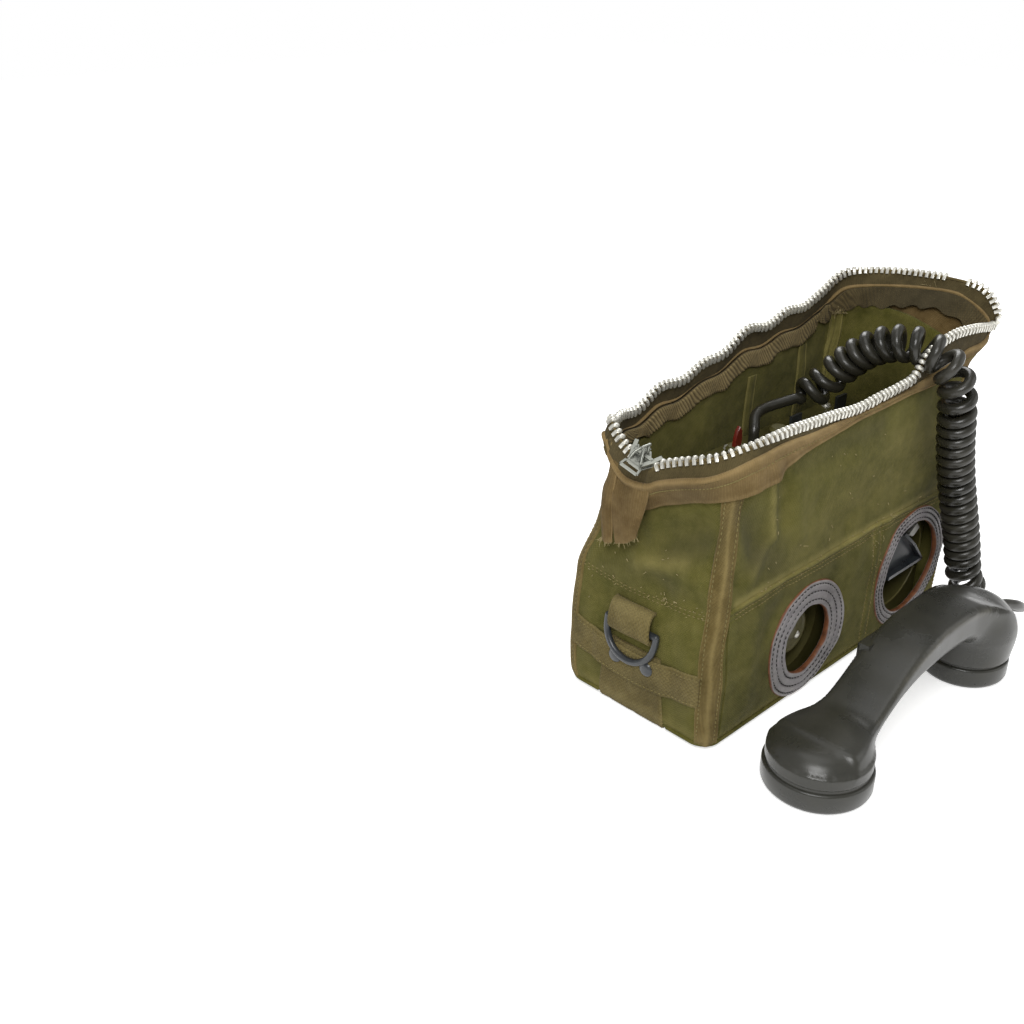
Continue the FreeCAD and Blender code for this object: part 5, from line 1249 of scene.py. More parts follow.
def makeMouthTape():
    f = mouthFrame(mouthTape["steps"])
    tall = f["tall"][:, None]
    marks = f["marks"][:, None]
    stand = 0.5 + 1.5 * (around(marks, 3.5, 2.2) + around(marks, 38.5, 2.0))  # it stands off by the slider
    share = np.array(mouthTape["outside"])[None, :]
    bulge = 0.8 * np.sin(np.clip(share, 0, 1) * math.pi) + 0.35 * np.sin(marks * 2.1 + share * 4)
    d = share * tall
    m = mouthTape["thick"] + 0.3 + bulge * 0.7 + stand * (1 - np.clip(share, 0, 1)) ** 3
    m = m - 0.55 * around(tall * (1 - share), mouthTape["row"], 0.8)
    over = np.radians(np.linspace(70, -80, 9))[None, :]
    size = mouthTape["round"]
    back = np.array(mouthTape["inside"])[None, :]
    behind = 0.25 + 0.15 * bulge[:, :1] - 0.9 * ease((back - 0.6) / 0.4)
    behind = behind + (stand + 0.2) * (1 - np.clip(back, 0, 1)) ** 3
    d = np.concatenate([d, tall + size * np.cos(over), back * tall], 1)
    m = np.concatenate([m, 0.1 + size * np.sin(over) + 0 * tall, behind], 1)
    points = fromFrame(f, d, m)
    cloth = np.stack([np.broadcast_to(f["run"][:, None], d.shape), d], -1)
    ridge = around(d - tall, 0.8, 1.8)
    # a band on the tape's upper part round the middle of the front is painted paler, as the highlight where
    # the rolled tape faces up
    paintedLitBand = around(marks, 10.5, 4.5) * ease((d / tall - 0.1) / 0.3)
    wearAndHighlight = np.clip(0.55 * ridge + 0.5 * paintedLitBand + 0.35 * around(d, -0.5, 1.2), 0, 1)
    found = {"wearAndHighlight": wearAndHighlight, "dirtAndShade": 0.5 * around(marks, 2.5, 1.6) * (1 - ridge)}
    tape = sweepSolid("mouth_tape", points, brownTape, cloth, closed=True, marks=found, sharp=70)
    addPiece(tape, ["zipper_tape_front"])
    step = max(int(mouthTape["stitch"] / (f["run"][-1] / mouthTape["steps"])), 1)
    pick = np.arange(0, mouthTape["steps"], step)
    row = np.clip(f["tall"] - mouthTape["row"], 1, None)
    spot = f["edge"] + f["up"] * row[:, None] + f["out"] * (mouthTape["thick"] + 0.35)
    mouthThreads.append((spot[pick], f["way"][pick], f["out"][pick]))


def zipFrame(count):
    f = mouthFrame(count)
    way = unit(np.roll(f["zip"], -1, 0) - np.roll(f["zip"], 1, 0))
    rise = f["zip"] - f["welt"]
    up = unit(rise - way * np.sum(rise * way, 1)[:, None])
    out = np.cross(way, up)
    out = out * np.sign(np.sum(out * f["out"], 1))[:, None]
    f.update({"zipWay": way, "zipUp": up, "zipOut": out, "zipTall": np.linalg.norm(rise, axis=1)})
    return f


def makeMouthStitches():
    rows = [np.concatenate([row[k] for row in mouthThreads]) for k in range(3)]
    addPiece(threadBeads("mouth_stitches", *rows, thread, length=2.0))


zipTape = {"steps": 900, "bead": 1.25, "half": 0.55, "shares": [0.0, 0.2, 0.4, 0.6, 0.78, 0.9]}


def makeZipTape():
    # a flat tape up from the welt, its edge thickened to the bead that the teeth clasp
    f = zipFrame(zipTape["steps"])
    tall = f["zipTall"][:, None]
    share = np.array(zipTape["shares"])[None, :]
    marks = f["marks"][:, None]
    bend = 0.9 * np.sin(share * math.pi) * np.sin(marks * 1.7 + 0.6)
    angle = np.radians(np.array([150, 110, 60, 20, -20, -60, -110, -150]))[None, :]
    bead, half = zipTape["bead"], zipTape["half"]
    outerD, outerM = share * tall - 2.5 * (1 - share), half + bend
    beadD, beadM = tall - 0.6 - bead * np.cos(angle), bead * np.sin(angle) + 0 * tall
    innerD, innerM = outerD[:, ::-1], -half + bend[:, ::-1]
    d, m = np.concatenate([outerD, beadD, innerD], 1), np.concatenate([outerM, beadM, innerM], 1)
    m = m - 0.4 * (1 - np.clip(d / tall, 0, 1))
    rise = unit(f["zip"] - f["welt"])[:, None]
    points = f["welt"][:, None] + rise * d[..., None] + f["zipOut"][:, None] * m[..., None]
    cloth = np.stack([np.broadcast_to(runLength(f["zip"])[:, None], d.shape), d], -1)
    near = around(d, tall, 2.0)
    # the tape below the teeth is painted darker, as the shade under the chain; the paler strip by the teeth
    # is wear
    found = {"wearAndHighlight": 0.35 * near, "dirtAndShade": 0.35 * (1 - near) * (d > 0)}
    tape = sweepSolid("zip_tape", points, zipCloth, cloth, closed=True, marks=found, sharp=70)
    addPiece(tape, ["zipper_tape_back"])


innerBand = {"height": 11.5, "top": 0.5, "gap": 2.6, "thick": 1.0, "pitch": 2.4, "slant": 1.1, "rise": 0.9,
             "steps": 2400}


def makeInnerBand():
    # a ribbed band hanging inside the mouth; round the far end it is plain and hangs lower
    f = mouthFrame(innerBand["steps"])
    run = f["run"][:, None]
    tall = f["tall"][:, None]
    far = around(f["marks"], 22.5, 4.5)[:, None]
    wave = (0.4 + 0.9 * far) * np.sin(run / 17.0 * 2 * math.pi) + 0.5 * np.sin(run / 41.0 * 2 * math.pi + 1)
    high = tall - innerBand["top"]
    low = high - innerBand["height"] - wave - 3 * far
    share = np.linspace(0, 1, 9)[None, :]
    d = low + (high - low) * share
    billow = 0.4 * np.sin(run / 23.0 * 2 * math.pi + share * 1.5) * (1 - share)
    slanted = (run + innerBand["slant"] * d) * math.pi / innerBand["pitch"]
    rib = innerBand["rise"] * (1 - far) * np.abs(np.sin(slanted)) ** 0.8
    edge = edgeDrop(np.minimum(share, 1 - share) * (high - low) + 0.1, 0.8)
    facing = -(innerBand["gap"] + innerBand["thick"]) - rib * edge - billow
    hidden = -innerBand["gap"] - billow
    both = np.concatenate([d, d[:, ::-1]], 1)
    points = fromFrame(f, both, np.concatenate([facing, hidden[:, ::-1]], 1))
    cloth = np.stack([np.broadcast_to(run, both.shape), both], -1)
    # the ribs' crests are painted paler and their hollows darker, as highlight and shade; the band's plain
    # far end and its hidden face are painted dark as shade too
    ribLightAndShade = np.concatenate([rib / innerBand["rise"], 0 * rib], 1)
    found = {"wearAndHighlight": ribLightAndShade ** 2, "dirtAndShade": 0.9 * (1 - ribLightAndShade) ** 2}
    addPiece(sweepSolid("inner_band", points, ribbedBand, cloth, closed=True, marks=found, sharp=80))


# The zip's teeth: a head on two legs that clasp the tape's beaded edge

zipper = {
    "pitch": 4.05, "first": 0.55, "last": 39.35, "gap": (21.9, 22.55), "head": 1.62, "steps": 2400,
    "legs": [(-2.5, -2.7), (-2.75, 0.4), (-1.9, 1.6), (0, 2.0), (1.9, 1.6), (2.75, 0.4), (2.5, -2.7),
             (1.35, -2.6),
             (1.25, -0.6), (0, 0.4), (-1.25, -0.6), (-1.35, -2.6)],
}


def toothShape():
    points, faces = [], []
    for along, size in ((-1.0, 0.82), (-0.72, 1.0), (0.72, 1.0), (1.0, 0.82)):
        points += [(along, m * (0.86 + 0.14 * size), e) for m, e in zipper["legs"]]
    faces += loopFaces(4, 12, False)
    faces += [tuple(range(12)), tuple(range(36, 48))]
    rings, sides = 6, 10
    first = len(points)
    for i in range(rings):
        tilt = math.pi * (i + 0.5) / rings - math.pi / 2
        for j in range(sides):
            a = 2 * math.pi * j / sides
            across = math.cos(tilt)
            points.append((zipper["head"] * across * math.cos(a), 2.45 * across * math.sin(a),
                           1.45 + 1.5 * math.sin(tilt)))
    faces += loopFaces(rings, sides, False, first)
    last = first + (rings - 1) * sides
    faces += [tuple(range(first, first + sides)), tuple(range(last, last + sides))]
    return np.array(points), faces


def makeTeeth():
    f = zipFrame(zipper["steps"])
    run = runLength(f["zip"])
    first, last = np.interp([zipper["first"], zipper["last"]], f["marks"], run)
    places = np.arange(first, last, zipper["pitch"])
    marks = np.interp(places, run, f["marks"])
    marks = marks[(marks < zipper["gap"][0]) | (marks > zipper["gap"][1])]
    index = np.searchsorted(f["marks"], marks).clip(0, zipper["steps"] - 1)
    shape, faces = toothShape()
    points, allFaces = [], []
    for n, k in enumerate(index):
        twist, lean = chance.normal(0, 0.05, 2)
        way, up, out = f["zipWay"][k], f["zipUp"][k], f["zipOut"][k]
        up = unit(up + out * lean)
        way = unit(way + out * twist)
        out = np.cross(way, up)
        points.append(f["zip"][k] - up * 0.2 + shape[:, :1] * way + shape[:, 1:2] * out + shape[:, 2:] * up)
        allFaces += [tuple(v + n * len(shape) for v in face) for face in faces]
    addPiece(makeObject("zip_teeth", np.concatenate(points), allFaces, nickel, sharp=40), ["zipper_teeth"])


# The folded end of the tape that hangs below the slider, and frayed threads

flap = {
    "front": [((-134.5, 22, 165), (-133, 12, 166.5), (-131.5, -2, 165)),
              ((-136.5, 23, 154), (-134.5, 12, 156), (-133.5, -1, 158)),
              ((-139.5, 21.5, 147), (-139, 11, 148), (-136, -2, 148)),
              ((-140.5, 20.5, 137), (-140, 10, 137), (-137, 0.5, 136)),
              ((-140, 19.5, 126), (-140, 10.5, 126), (-138, 2, 129)),
              ((-138.5, 18.5, 114), (-138.5, 10, 117.5), (-137, 3.5, 122.5))],
    "back": [((-133.5, 29, 169), (-134.5, 25, 168), (-134.5, 21, 166)),
             ((-136, 28, 158), (-137.5, 25, 156), (-137.5, 21, 155)),
             ((-137.5, 30.5, 148), (-140.5, 26, 146), (-139.5, 20.5, 146)),
             ((-137.5, 31.5, 136), (-141, 27, 134), (-139.5, 20.5, 136)),
             ((-137, 31.5, 124), (-140, 27, 123), (-138.5, 20.8, 125)),
             ((-137, 30.5, 112.5), (-139, 26, 111.5), (-138, 21.5, 113.5))],
    "frays": [((-138, 30.5, 113), (-138.4, 21.5, 114)), ((-138.5, 18.5, 114.5), (-137.2, 3.5, 123))],
    "thick": 2.0, "threads": 46,
}


def curvedPatch(name, control, material, thick, rows=40, cols=30):
    # a sheet of cloth through a few rows of points, thick inward
    control = np.array(control, float)
    down = np.linspace(0, len(control) - 1, rows)
    over = np.linspace(0, control.shape[1] - 1, cols)
    columns = np.stack([curveThrough(control[:, k], down, closed=False) for k in range(control.shape[1])], 1)
    grid = np.stack([curveThrough(columns[i], over, closed=False) for i in range(rows)])
    normal = unit(np.cross(np.gradient(grid, axis=1), np.gradient(grid, axis=0)))
    if normal[rows // 2, cols // 2, 0] > 0:
        normal = -normal
    i, j = np.meshgrid(np.linspace(0, 1, rows), np.linspace(0, 1, cols), indexing="ij")
    size = np.linalg.norm(grid[-1, 0] - grid[0, 0]), np.linalg.norm(grid[0, -1] - grid[0, 0])
    rim = edgeDrop(np.minimum(np.minimum(j, 1 - j) * size[1], (1 - i) * size[0]) + 0.05, 1.2)
    outer = grid + normal * ((rim - 1) * thick * 0.45 + waves(grid, 22, 0.5, seed=9))[..., None]
    inner = grid - normal * thick * (0.55 + 0.45 * rim)[..., None]
    cloth = np.stack([j * size[1], i * size[0]], -1)
    wearAndHighlight = np.clip(0.55 * (rim < 0.9) + 0.3 * ease((i - 0.85) / 0.15), 0, 1)
    dirtAndShade = 0.3 * (1 - i) * np.exp(-((j - 0.5) / 0.3) ** 2)
    return sheetSolid(name, outer, inner, material, cloth, marks={"wearAndHighlight": wearAndHighlight, "dirtAndShade": dirtAndShade}, sharp=60)


def frayed(name, roots, ways, lengths, material, radius=0.2, seed=5):
    # loose ends of thread that curl away from the given places
    rng = np.random.default_rng(seed)
    points, faces = [], []
    for start, way, length in zip(roots, ways, lengths):
        curl = unit(rng.normal(size=3))
        t = np.linspace(0, 1, 9)[:, None]
        straight = unit(np.array(way, float) + 0.35 * rng.normal(size=3)) * t * length
        path = start + straight + curl * (t ** 2) * length * 0.35
        ring = tubeSections(path, radius * (1 - 0.5 * t[:, 0]), 5)
        first = sum(len(p) for p in points)
        points.append(ring.reshape(-1, 3))
        faces += loopFaces(9, 5, False, first)
        faces += [tuple(range(first, first + 5)), tuple(range(first + 40, first + 45))]
    return makeObject(name, np.concatenate(points), faces, material)


def makeFlap():
    for part in ("back", "front"):
        addPiece(curvedPatch("tape_end_" + part, flap[part], brownTape, flap["thick"]))
    rng = np.random.default_rng(8)
    roots, ways, lengths = [], [], []
    for k in range(flap["threads"]):
        t = rng.uniform(0, 1)
        a, b = np.array(flap["frays"][k % 2])
        spot = a * (1 - t) + b * t
        roots.append(spot + np.array([rng.uniform(0, 1.6), 0, 1.0]))
        ways.append((-0.3, rng.normal(0, 0.3), -1))
        lengths.append(rng.uniform(2.0, 5.0))
    threads = frayed("tape_end_threads", roots, ways, lengths, paleThread)
    addPiece(threads, ["zipper_end_tab"])


def makeInside():
    # sewn seams inside the case, with raw edges where the tape stops short
    pieces = []
    for x, high in ((34, 169), (92, 178)):
        z = np.linspace(24, high, 60)
        s = sidePlace("back", np.full(60, float(x)), z)[:, None] + np.linspace(-4.5, 4.5, 12)[None, :]
        zz = np.broadcast_to(z[:, None], s.shape)
        off = np.linspace(-4.5, 4.5, 12)[None, :]
        rim = 0.5 * (np.abs(off) > 3.6) + 0.4 * around(np.abs(off), 2.4, 0.7)
        lift = rim - 1.2 - caseForm["canvas"] + 0 * s
        turn = toTurn(s, zz)
        inner, _ = onTurn(turn, zz, lift)
        outer, _ = onTurn(turn, zz, -caseForm["canvas"] + 0.5)
        wearAndHighlight = 0.8 * (np.abs(off) > 3.6) + 0.2 + 0 * s
        pieces.append(sheetSolid(f"inner_seam_{x}", outer, inner, canvas, np.stack([s, zz], -1),
                                 marks={"wearAndHighlight": wearAndHighlight, "dirtAndShade": 0 * wearAndHighlight}, sharp=60))
    z = np.linspace(196, 70, 50)[:, None]
    off = np.linspace(-6, 6, 14)[None, :]
    s = cornerPlace("backRight", z) + off + 0.8 * np.sin(z / 5)
    zz = np.broadcast_to(z, s.shape)
    turn = toTurn(s, zz)
    inner, _ = onTurn(turn, zz, -caseForm["canvas"] - 1.6 + 0.5 * np.sin(off * 1.3 + z / 9))
    outer, _ = onTurn(turn, zz, -caseForm["canvas"] + 0.4)
    wearAndHighlight = 0.5 + 0.4 * (np.abs(off) > 5) + 0 * s
    pieces.append(sheetSolid("inner_corner_seam", outer, inner, canvas, np.stack([s, zz], -1),
                             marks={"wearAndHighlight": wearAndHighlight, "dirtAndShade": 0 * wearAndHighlight}, sharp=60))
    for piece in pieces:
        addPiece(piece)
    rng = np.random.default_rng(21)
    roots, ways, lengths = [], [], []
    for k in range(60):
        a = rng.uniform(-1, 1)
        if k % 3:
            spot = onTurn(toTurn(cornerPlace("backRight", 195.0) + a * 6, 195.0), np.array(195.0), -4.0)[0]
            ways.append((-0.5, -0.6, 0.6))
        else:
            spot = np.array([144, -14 + 5 * a, 221 + 2 * a])
            ways.append((-0.9, 0.1, 0.4))
        roots.append(spot)
        lengths.append(rng.uniform(3, 8))
    addPiece(frayed("seam_threads", roots, ways, lengths, paleThread, 0.22))


# The cord, wound along the same route as the solids that it stands for

cord = {
    "route": [(44, 22, 158), (54, 17, 160), (61, 4, 178), (64, -13, 196), (66, -33, 206), (68, -57, 206),
              (73, -73.5, 191), (80, -74, 165), (88, -73, 140), (97, -74, 112), (106, -77, 84),
              (113, -79, 62),
              (119, -80, 42), (125, -82, 25), (134, -85, 17)],
    "leadIn": [(2, 24, 134), (2, 24, 146), (11, 31, 153)],
    "leadOut": [(104, -114, 27), (116, -114, 27), (130, -118, 22), (145, -117, 13), (154, -107, 6),
                (153, -96, 4.5)],
    "wire": 7.2, "curl": 8.8, "pitch": 7.9, "gap": 0.5, "step": 1.45, "sides": 16,
    "spacings": 1500, "perTurn": 40,
    "stillUntil": (0.066, -0.045, 0.2), "goesFrom": (0.12, -0.125, 0.10),
}


def routeLine():
    # the smooth line through the route's points, as a curve object gives it
    curve = bpy.data.curves.new("route", "CURVE")
    curve.dimensions = "3D"
    curve.resolution_u = 90
    spline = curve.splines.new("NURBS")
    spline.points.add(len(cord["route"]) - 1)
    for point, spot in zip(spline.points, cord["route"]):
        point.co = (*[v * mm for v in spot], 1)
    spline.order_u = 3
    spline.use_endpoint_u = True
    holder = bpy.data.objects.new("route", curve)
    bpy.context.collection.objects.link(holder)
    bpy.context.view_layer.update()
    mesh = bpy.data.meshes.new_from_object(holder)
    line = np.array([v.co for v in mesh.vertices], float) / mm
    bpy.data.objects.remove(holder)
    bpy.data.curves.remove(curve)
    bpy.data.meshes.remove(mesh)
    return line


def curledLine():
    # turns counted along the line, wider where a bend would press them together
    steps = cord["spacings"]
    line = respaced(routeLine(), steps + 1)
    spacing = runLength(line)[-1] / steps
    way, side, up = frames(line, start=(0, 0, 1))
    side, up = up, -side
    bend = np.linalg.norm(np.gradient(way, axis=0), axis=1) / spacing
    reach = int(16 / spacing)
    worst = np.array([bend[max(0, k - reach):k + reach + 1].max() for k in range(steps + 1)])
    opened = (cord["wire"] + cord["gap"]) / (1 - cord["curl"] * worst)
    turns = np.concatenate([[0], np.cumsum(spacing / np.maximum(cord["pitch"], opened))])[:-1]
    marks = np.linspace(0, turns[-1], int(turns[-1] * cord["perTurn"]))
    at = np.interp(marks, turns, np.arange(steps + 1))
    low = np.floor(at).astype(int).clip(0, steps - 1)
    part = (at - low)[:, None]
    middle, s, u = [v[low] * (1 - part) + v[low + 1] * part for v in (line, side, up)]
    swell = cord["curl"] * ease(np.minimum(marks, turns[-1] - marks) / 0.8)
    angle = 2 * math.pi * marks
    ring = s * np.cos(angle)[:, None] + u * np.sin(angle)[:, None]
    return middle + ring * swell[:, None], way[0], way[-1]


def arcRoute(points):
    # straight runs joined by tangent arcs, as closely spaced points
    pts = np.array(points, float)
    path = [pts[0]]
    for a, b, c in zip(pts, pts[1:], pts[2:]):
        u, v = unit(b - a), unit(c - b)
        setback = 0.45 * min(np.linalg.norm(b - a), np.linalg.norm(c - b))
        p, q = b - u * setback, b + v * setback
        half = math.acos(np.clip(u @ v, -1, 1)) / 2
        centre = b + unit(v - u) * setback / math.sin(half)
        for t in np.linspace(0, 1, 14):
            chord = p + (q - p) * t
            path.append(centre + unit(chord - centre) * setback / math.tan(half))
    path.append(pts[-1])
    return np.array(path)


def makeCord():
    curl, first, last = curledLine()
    begin, end = curl[0] - first * cord["wire"], curl[-1] + last * cord["wire"]
    entry = arcRoute(cord["leadIn"] + [tuple(begin - first * 14), tuple(begin)])
    leave = arcRoute(cord["leadOut"] + [tuple(end + last * 9), tuple(end)])
    path = np.concatenate([entry, curl, leave[::-1]])
    length = runLength(path)[-1]
    path = respaced(path, int(length / cord["step"]))
    tubeObject = sweepSolid("handset_cord", tubeSections(path, cord["wire"] / 2, cord["sides"]), cordRubber)
    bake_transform(tubeObject)
    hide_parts("cord_lead_in", "curly_cord", "cord_lead_out")
    print("the cord is wound,", round(length), "mm long")


# The handset: a handle that widens into two round bowls, each closed by a screwed cap

handset = {
    "row": -115, "ends": (-107, 64), "capTop": 14.4,
    "top": [(-114, 31.5), (-94, 32.5), (-80, 35), (-66, 42), (-50, 52), (-30, 61), (-6, 66), (18, 66.5),
            (38, 64), (52, 59),
            (64, 53), (76, 47)],
    "bottom": [(-112, 18), (-90, 19), (-76, 24), (-62, 31), (-45, 37.5), (-25, 41.5), (0, 43), (20, 42.5),
               (36, 38), (48, 30),
               (60, 22), (80, 20)],
    "width": [(-114, 50), (-98, 46), (-84, 40), (-70, 36.5), (-50, 35.5), (0, 35.5), (28, 37), (42, 41),
              (54, 46),
              (64, 49), (76, 49)],
    "bowls": [{"place": -107, "foot": 16.0, "top": 32.5, "round": 30.6, "shoulder": 14.5, "draw": 0.03,
               "cap": 32},
              {"place": 64, "foot": 16.0, "top": 55.0, "round": 27.8, "shoulder": 22, "draw": -0.05,
               "cap": 28}],
    "wearAndHighlight": [((-78, -134, 36), (-50, -133, 52), 1.7), ((-50, -133, 52), (-6, -133, 65), 1.4),
             ((-6, -133, 65), (44, -134.5, 61), 1.6)],
    "ridge": 2.4, "belly": 9.0, "blend": 8.0, "cell": 1.25, "rounds": 13, "still": 8,
}


def handleGap(p):
    # the distance from the handle's surface, outside positive
    x = p[:, 0]
    top, bottom = smoothCurve(x, handset["top"]), smoothCurve(x, handset["bottom"])
    slope = (smoothCurve(x + 1, handset["top"]) - smoothCurve(x - 1, handset["top"])) / 2
    lean = 1 / np.sqrt(1 + slope ** 2)
    half, wide = (top - bottom) / 2 * lean, smoothCurve(x, handset["width"]) / 2
    v = (p[:, 2] - (top + bottom) / 2) * lean
    u = np.abs(p[:, 1] - handset["row"])
    crown = 0.6 * (1 - (u / wide) ** 2)
    r = handset["ridge"] + (handset["belly"] - handset["ridge"]) * ease(0.5 - v / 10)
    a, b = u - (wide - r), np.abs(v) - (half - r) - np.where(v > 0, crown, 0)
    flat = np.hypot(np.maximum(a, 0), np.maximum(b, 0)) + np.minimum(np.maximum(a, b), 0) - r
    past = np.maximum(np.maximum(x - handset["ends"][1] - 6, handset["ends"][0] - 4 - x), -50)
    return np.maximum(flat, past)


def bowlGap(p, bowl):
    out = np.hypot(p[:, 0] - bowl["place"], p[:, 1] - handset["row"])
    middle, half = (bowl["top"] + bowl["foot"]) / 2, (bowl["top"] - bowl["foot"]) / 2
    up = p[:, 2] - middle
    dome = 1.2 * (1 - np.clip(out / bowl["round"], 0, 1) ** 2)
    r = np.where(up > 0, bowl["shoulder"], 1.4)
    reach = bowl["round"] - bowl["draw"] * np.clip(up + half, 0, 24)
    a, b = out - (reach - r), np.abs(up) - (half - r) + np.where(up > 0, 1.2 - dome, 0)
    return np.hypot(np.maximum(a, 0), np.maximum(b, 0)) + np.minimum(np.maximum(a, b), 0) - r


def handsetGap(p):
    gap = handleGap(p)
    for bowl in handset["bowls"]:
        other = bowlGap(p, bowl)
        k = handset["blend"]
        h = np.clip(0.5 + 0.5 * (other - gap) / k, 0, 1)
        gap = other + (gap - other) * h - k * h * (1 - h)
    low = handset["bowls"][0]["foot"]
    return np.maximum(gap, low - p[:, 2])


def roughHandset():
    # a tube and two turned bowls, to be made one and drawn onto the handset's form
    x = np.linspace(handset["ends"][0], handset["ends"][1], 60)
    top, bottom, wide = [smoothCurve(x, handset[key]) for key in ("top", "bottom", "width")]
    angle = np.linspace(0, 2 * math.pi, 20, endpoint=False)
    y = handset["row"] + wide[:, None] / 2 * np.cos(angle)
    z = np.maximum(((top + bottom) / 2)[:, None] + (top - bottom)[:, None] / 2 * np.sin(angle), 17)
    sections = np.stack([np.broadcast_to(x[:, None], y.shape), y, z], -1)
    rough = [sweepSolid("handle", sections, handsetMoulding)]
    for bowl in handset["bowls"]:
        r, foot, top = bowl["cap"], bowl["foot"], bowl["top"]
        profile = [(0.02, foot), (r - 1, foot), (r - 0.5, foot + 2), (r - 2, top - 10), (22, top - 2),
                   (0.02, top)]
        centre = (bowl["place"], handset["row"], 0)
        rough.append(latheSolid("bowl", profile, handsetMoulding, centre, (0, 0, 1), 48, None))
    return joined("handset_body", rough)


def remeshed(obj, cell):
    remesh = obj.modifiers.new("remesh", "REMESH")
    remesh.mode, remesh.voxel_size = "VOXEL", cell * mm
    bpy.context.view_layer.update()
    mesh = bpy.data.meshes.new_from_object(obj.evaluated_get(bpy.context.evaluated_depsgraph_get()))
    old = obj.data
    obj.modifiers.clear()
    obj.data = mesh
    bpy.data.meshes.remove(old)
    return mesh


def smoothed(p, edges):
    # each point moved half of the way to the middle of its neighbours
    total, count = np.zeros_like(p), np.zeros(len(p))
    for a, b in ((0, 1), (1, 0)):
        np.add.at(total, edges[:, a], p[edges[:, b]])
        np.add.at(count, edges[:, a], 1)
    return p + 0.5 * (total / count[:, None] - p)


def drawnToForm(p, edges):
    for turn in range(handset["rounds"]):
        grad = np.stack([handsetGap(p + step) - handsetGap(p - step) for step in 0.05 * np.eye(3)], 1)
        p = p - unit(grad) * handsetGap(p)[:, None] * 0.8
        if turn != handset["still"]:
            p = smoothed(p, edges)
    return p


def makeHandset():
    shell = roughHandset()
    mesh = remeshed(shell, handset["cell"])
    points = np.empty(len(mesh.vertices) * 3)
    mesh.vertices.foreach_get("co", points)
    edges = np.empty(len(mesh.edges) * 2, dtype=np.int32)
    mesh.edges.foreach_get("vertices", edges)
    p = drawnToForm(points.reshape(-1, 3) / mm, edges.reshape(-1, 2))
    mesh.vertices.foreach_set("co", (p * mm).ravel())
    mesh.polygons.foreach_set("use_smooth", [True] * len(mesh.polygons))
    mesh.materials.clear()
    mesh.materials.append(handsetMoulding)
    ridge = sum(nearLine(p, a, b, width) for a, b, width in handset["wearAndHighlight"])
    for key, values in (("wearAndHighlight", np.clip(ridge, 0, 1)), ("dirtAndShade", 0 * ridge)):
        mesh.attributes.new(key, "FLOAT", "POINT").data.foreach_set("value", values)
    addPiece(shell, ["handset_shell"], body="handset")
    top = handset["capTop"]
    for bowl, name in zip(handset["bowls"], ("receiver_cap", "transmitter_cap")):
        r = bowl["cap"]
        profile = [(0.02, 1.6), (14, 1.4), (r - 9, 0.9), (r - 5.5, 0.2), (r - 3.6, 0.15), (r - 2, 0.7),
                   (r - 0.7, 2.0),
                   (r, 3.8), (r, top - 1.4), (r - 0.3, top - 0.5), (r - 1.0, top), (r - 1.9, top + 0.1),
                   (r - 2.1, top + 2.2), (0.02, top + 2.2)]
        centre = (bowl["place"], handset["row"], 0)
        cap = latheSolid(name + "_body", profile, handsetMoulding, centre, (0, 0, 1), 96, 40)
        addPiece(cap, [name], body="handset")
    print("the handset is shaped")


# The crank and the buzzer's control, seen through the two openings

crankView = {
    "centre": (82, 47), "web": (-50.4, -48.4), "lip": (-55.0, -49.0),
    "plate": [(63, 42.5), (108, 42.5), (94, 57), (82, 68), (72, 70), (60, 66), (57, 52)],
    "foot": [(63, 40.9), (108.5, 40.9), (109.2, 42.2), (107.6, 43.3), (64, 43.3)],
    "end": [(107.2, 42.4), (109.2, 42.2), (95, 58.2), (93.4, 56.9)],
    "head": [(93.4, 56.9), (95, 58.2), (79, 72), (76.4, 70.8)],
    "handle": [(88, 66), (95, 62.5), (103.5, 67.5), (98, 73)],
    "hub": [(0.02, 0), (5.0, 0), (6.6, 1.2), (6.6, 3.4), (5.2, 4.2), (5.2, 27), (0.02, 27)],
    "rim": [(33.1, 0), (33.3, 0.5), (34.2, 0.6), (34.8, 0.1), (34.8, -0.4), (33.1, -0.4)], "face": -47.7,
}


def prism(name, plate, y0, y1, material, chamfer=0.5):
    # a plate cut to an outline of x and z, from y0 to y1, with its edges broken
    flat = np.array(plate, float)
    middle = flat.mean(0)
    small = middle + (flat - middle) * (1 - chamfer / np.abs(flat - middle).max())
    rows = [np.stack([o[:, 0], np.full(len(o), y), o[:, 1]], 1)
            for o, y in ((small, y0), (flat, y0 + chamfer), (flat, y1 - chamfer), (small, y1))]
    return sweepSolid(name, np.array(rows), material, sharp=30)


def makeCrank():
    web, lip = crankView["web"], crankView["lip"]
    parts = [prism("crank_web", crankView["plate"], *web, blackSteel)]
    for key in ("foot", "end", "head"):
        parts.append(prism("crank_" + key, crankView[key], *lip, blackSteel, 0.35))
    x, z = crankView["centre"]
    hub = crankView["hub"]
    parts.append(latheSolid("crank_hub", hub, blackSteel, (x, web[1] + hub[-1][1], z), (0, -1, 0), 32))
    addPiece(joined("crank_arm_body", parts), ["crank_arm"], body="crank")
    addPiece(prism("crank_knuckle", crankView["handle"], -52, -44, steel, 0.8), body="crank")
    face = crankView["face"]
    angle = np.linspace(0, 2 * math.pi, 120, endpoint=False)
    sections = [[(x + r * math.cos(a), face - h, z + r * math.sin(a)) for r, h in crankView["rim"]]
                for a in angle]
    sections = np.array(sections)
    found = {"wearAndHighlight": np.ones(sections.shape[:2])}
    addPiece(sweepSolid("crank_well_rim", sections, oliveMoulding, closed=True, marks=found, sharp=40))


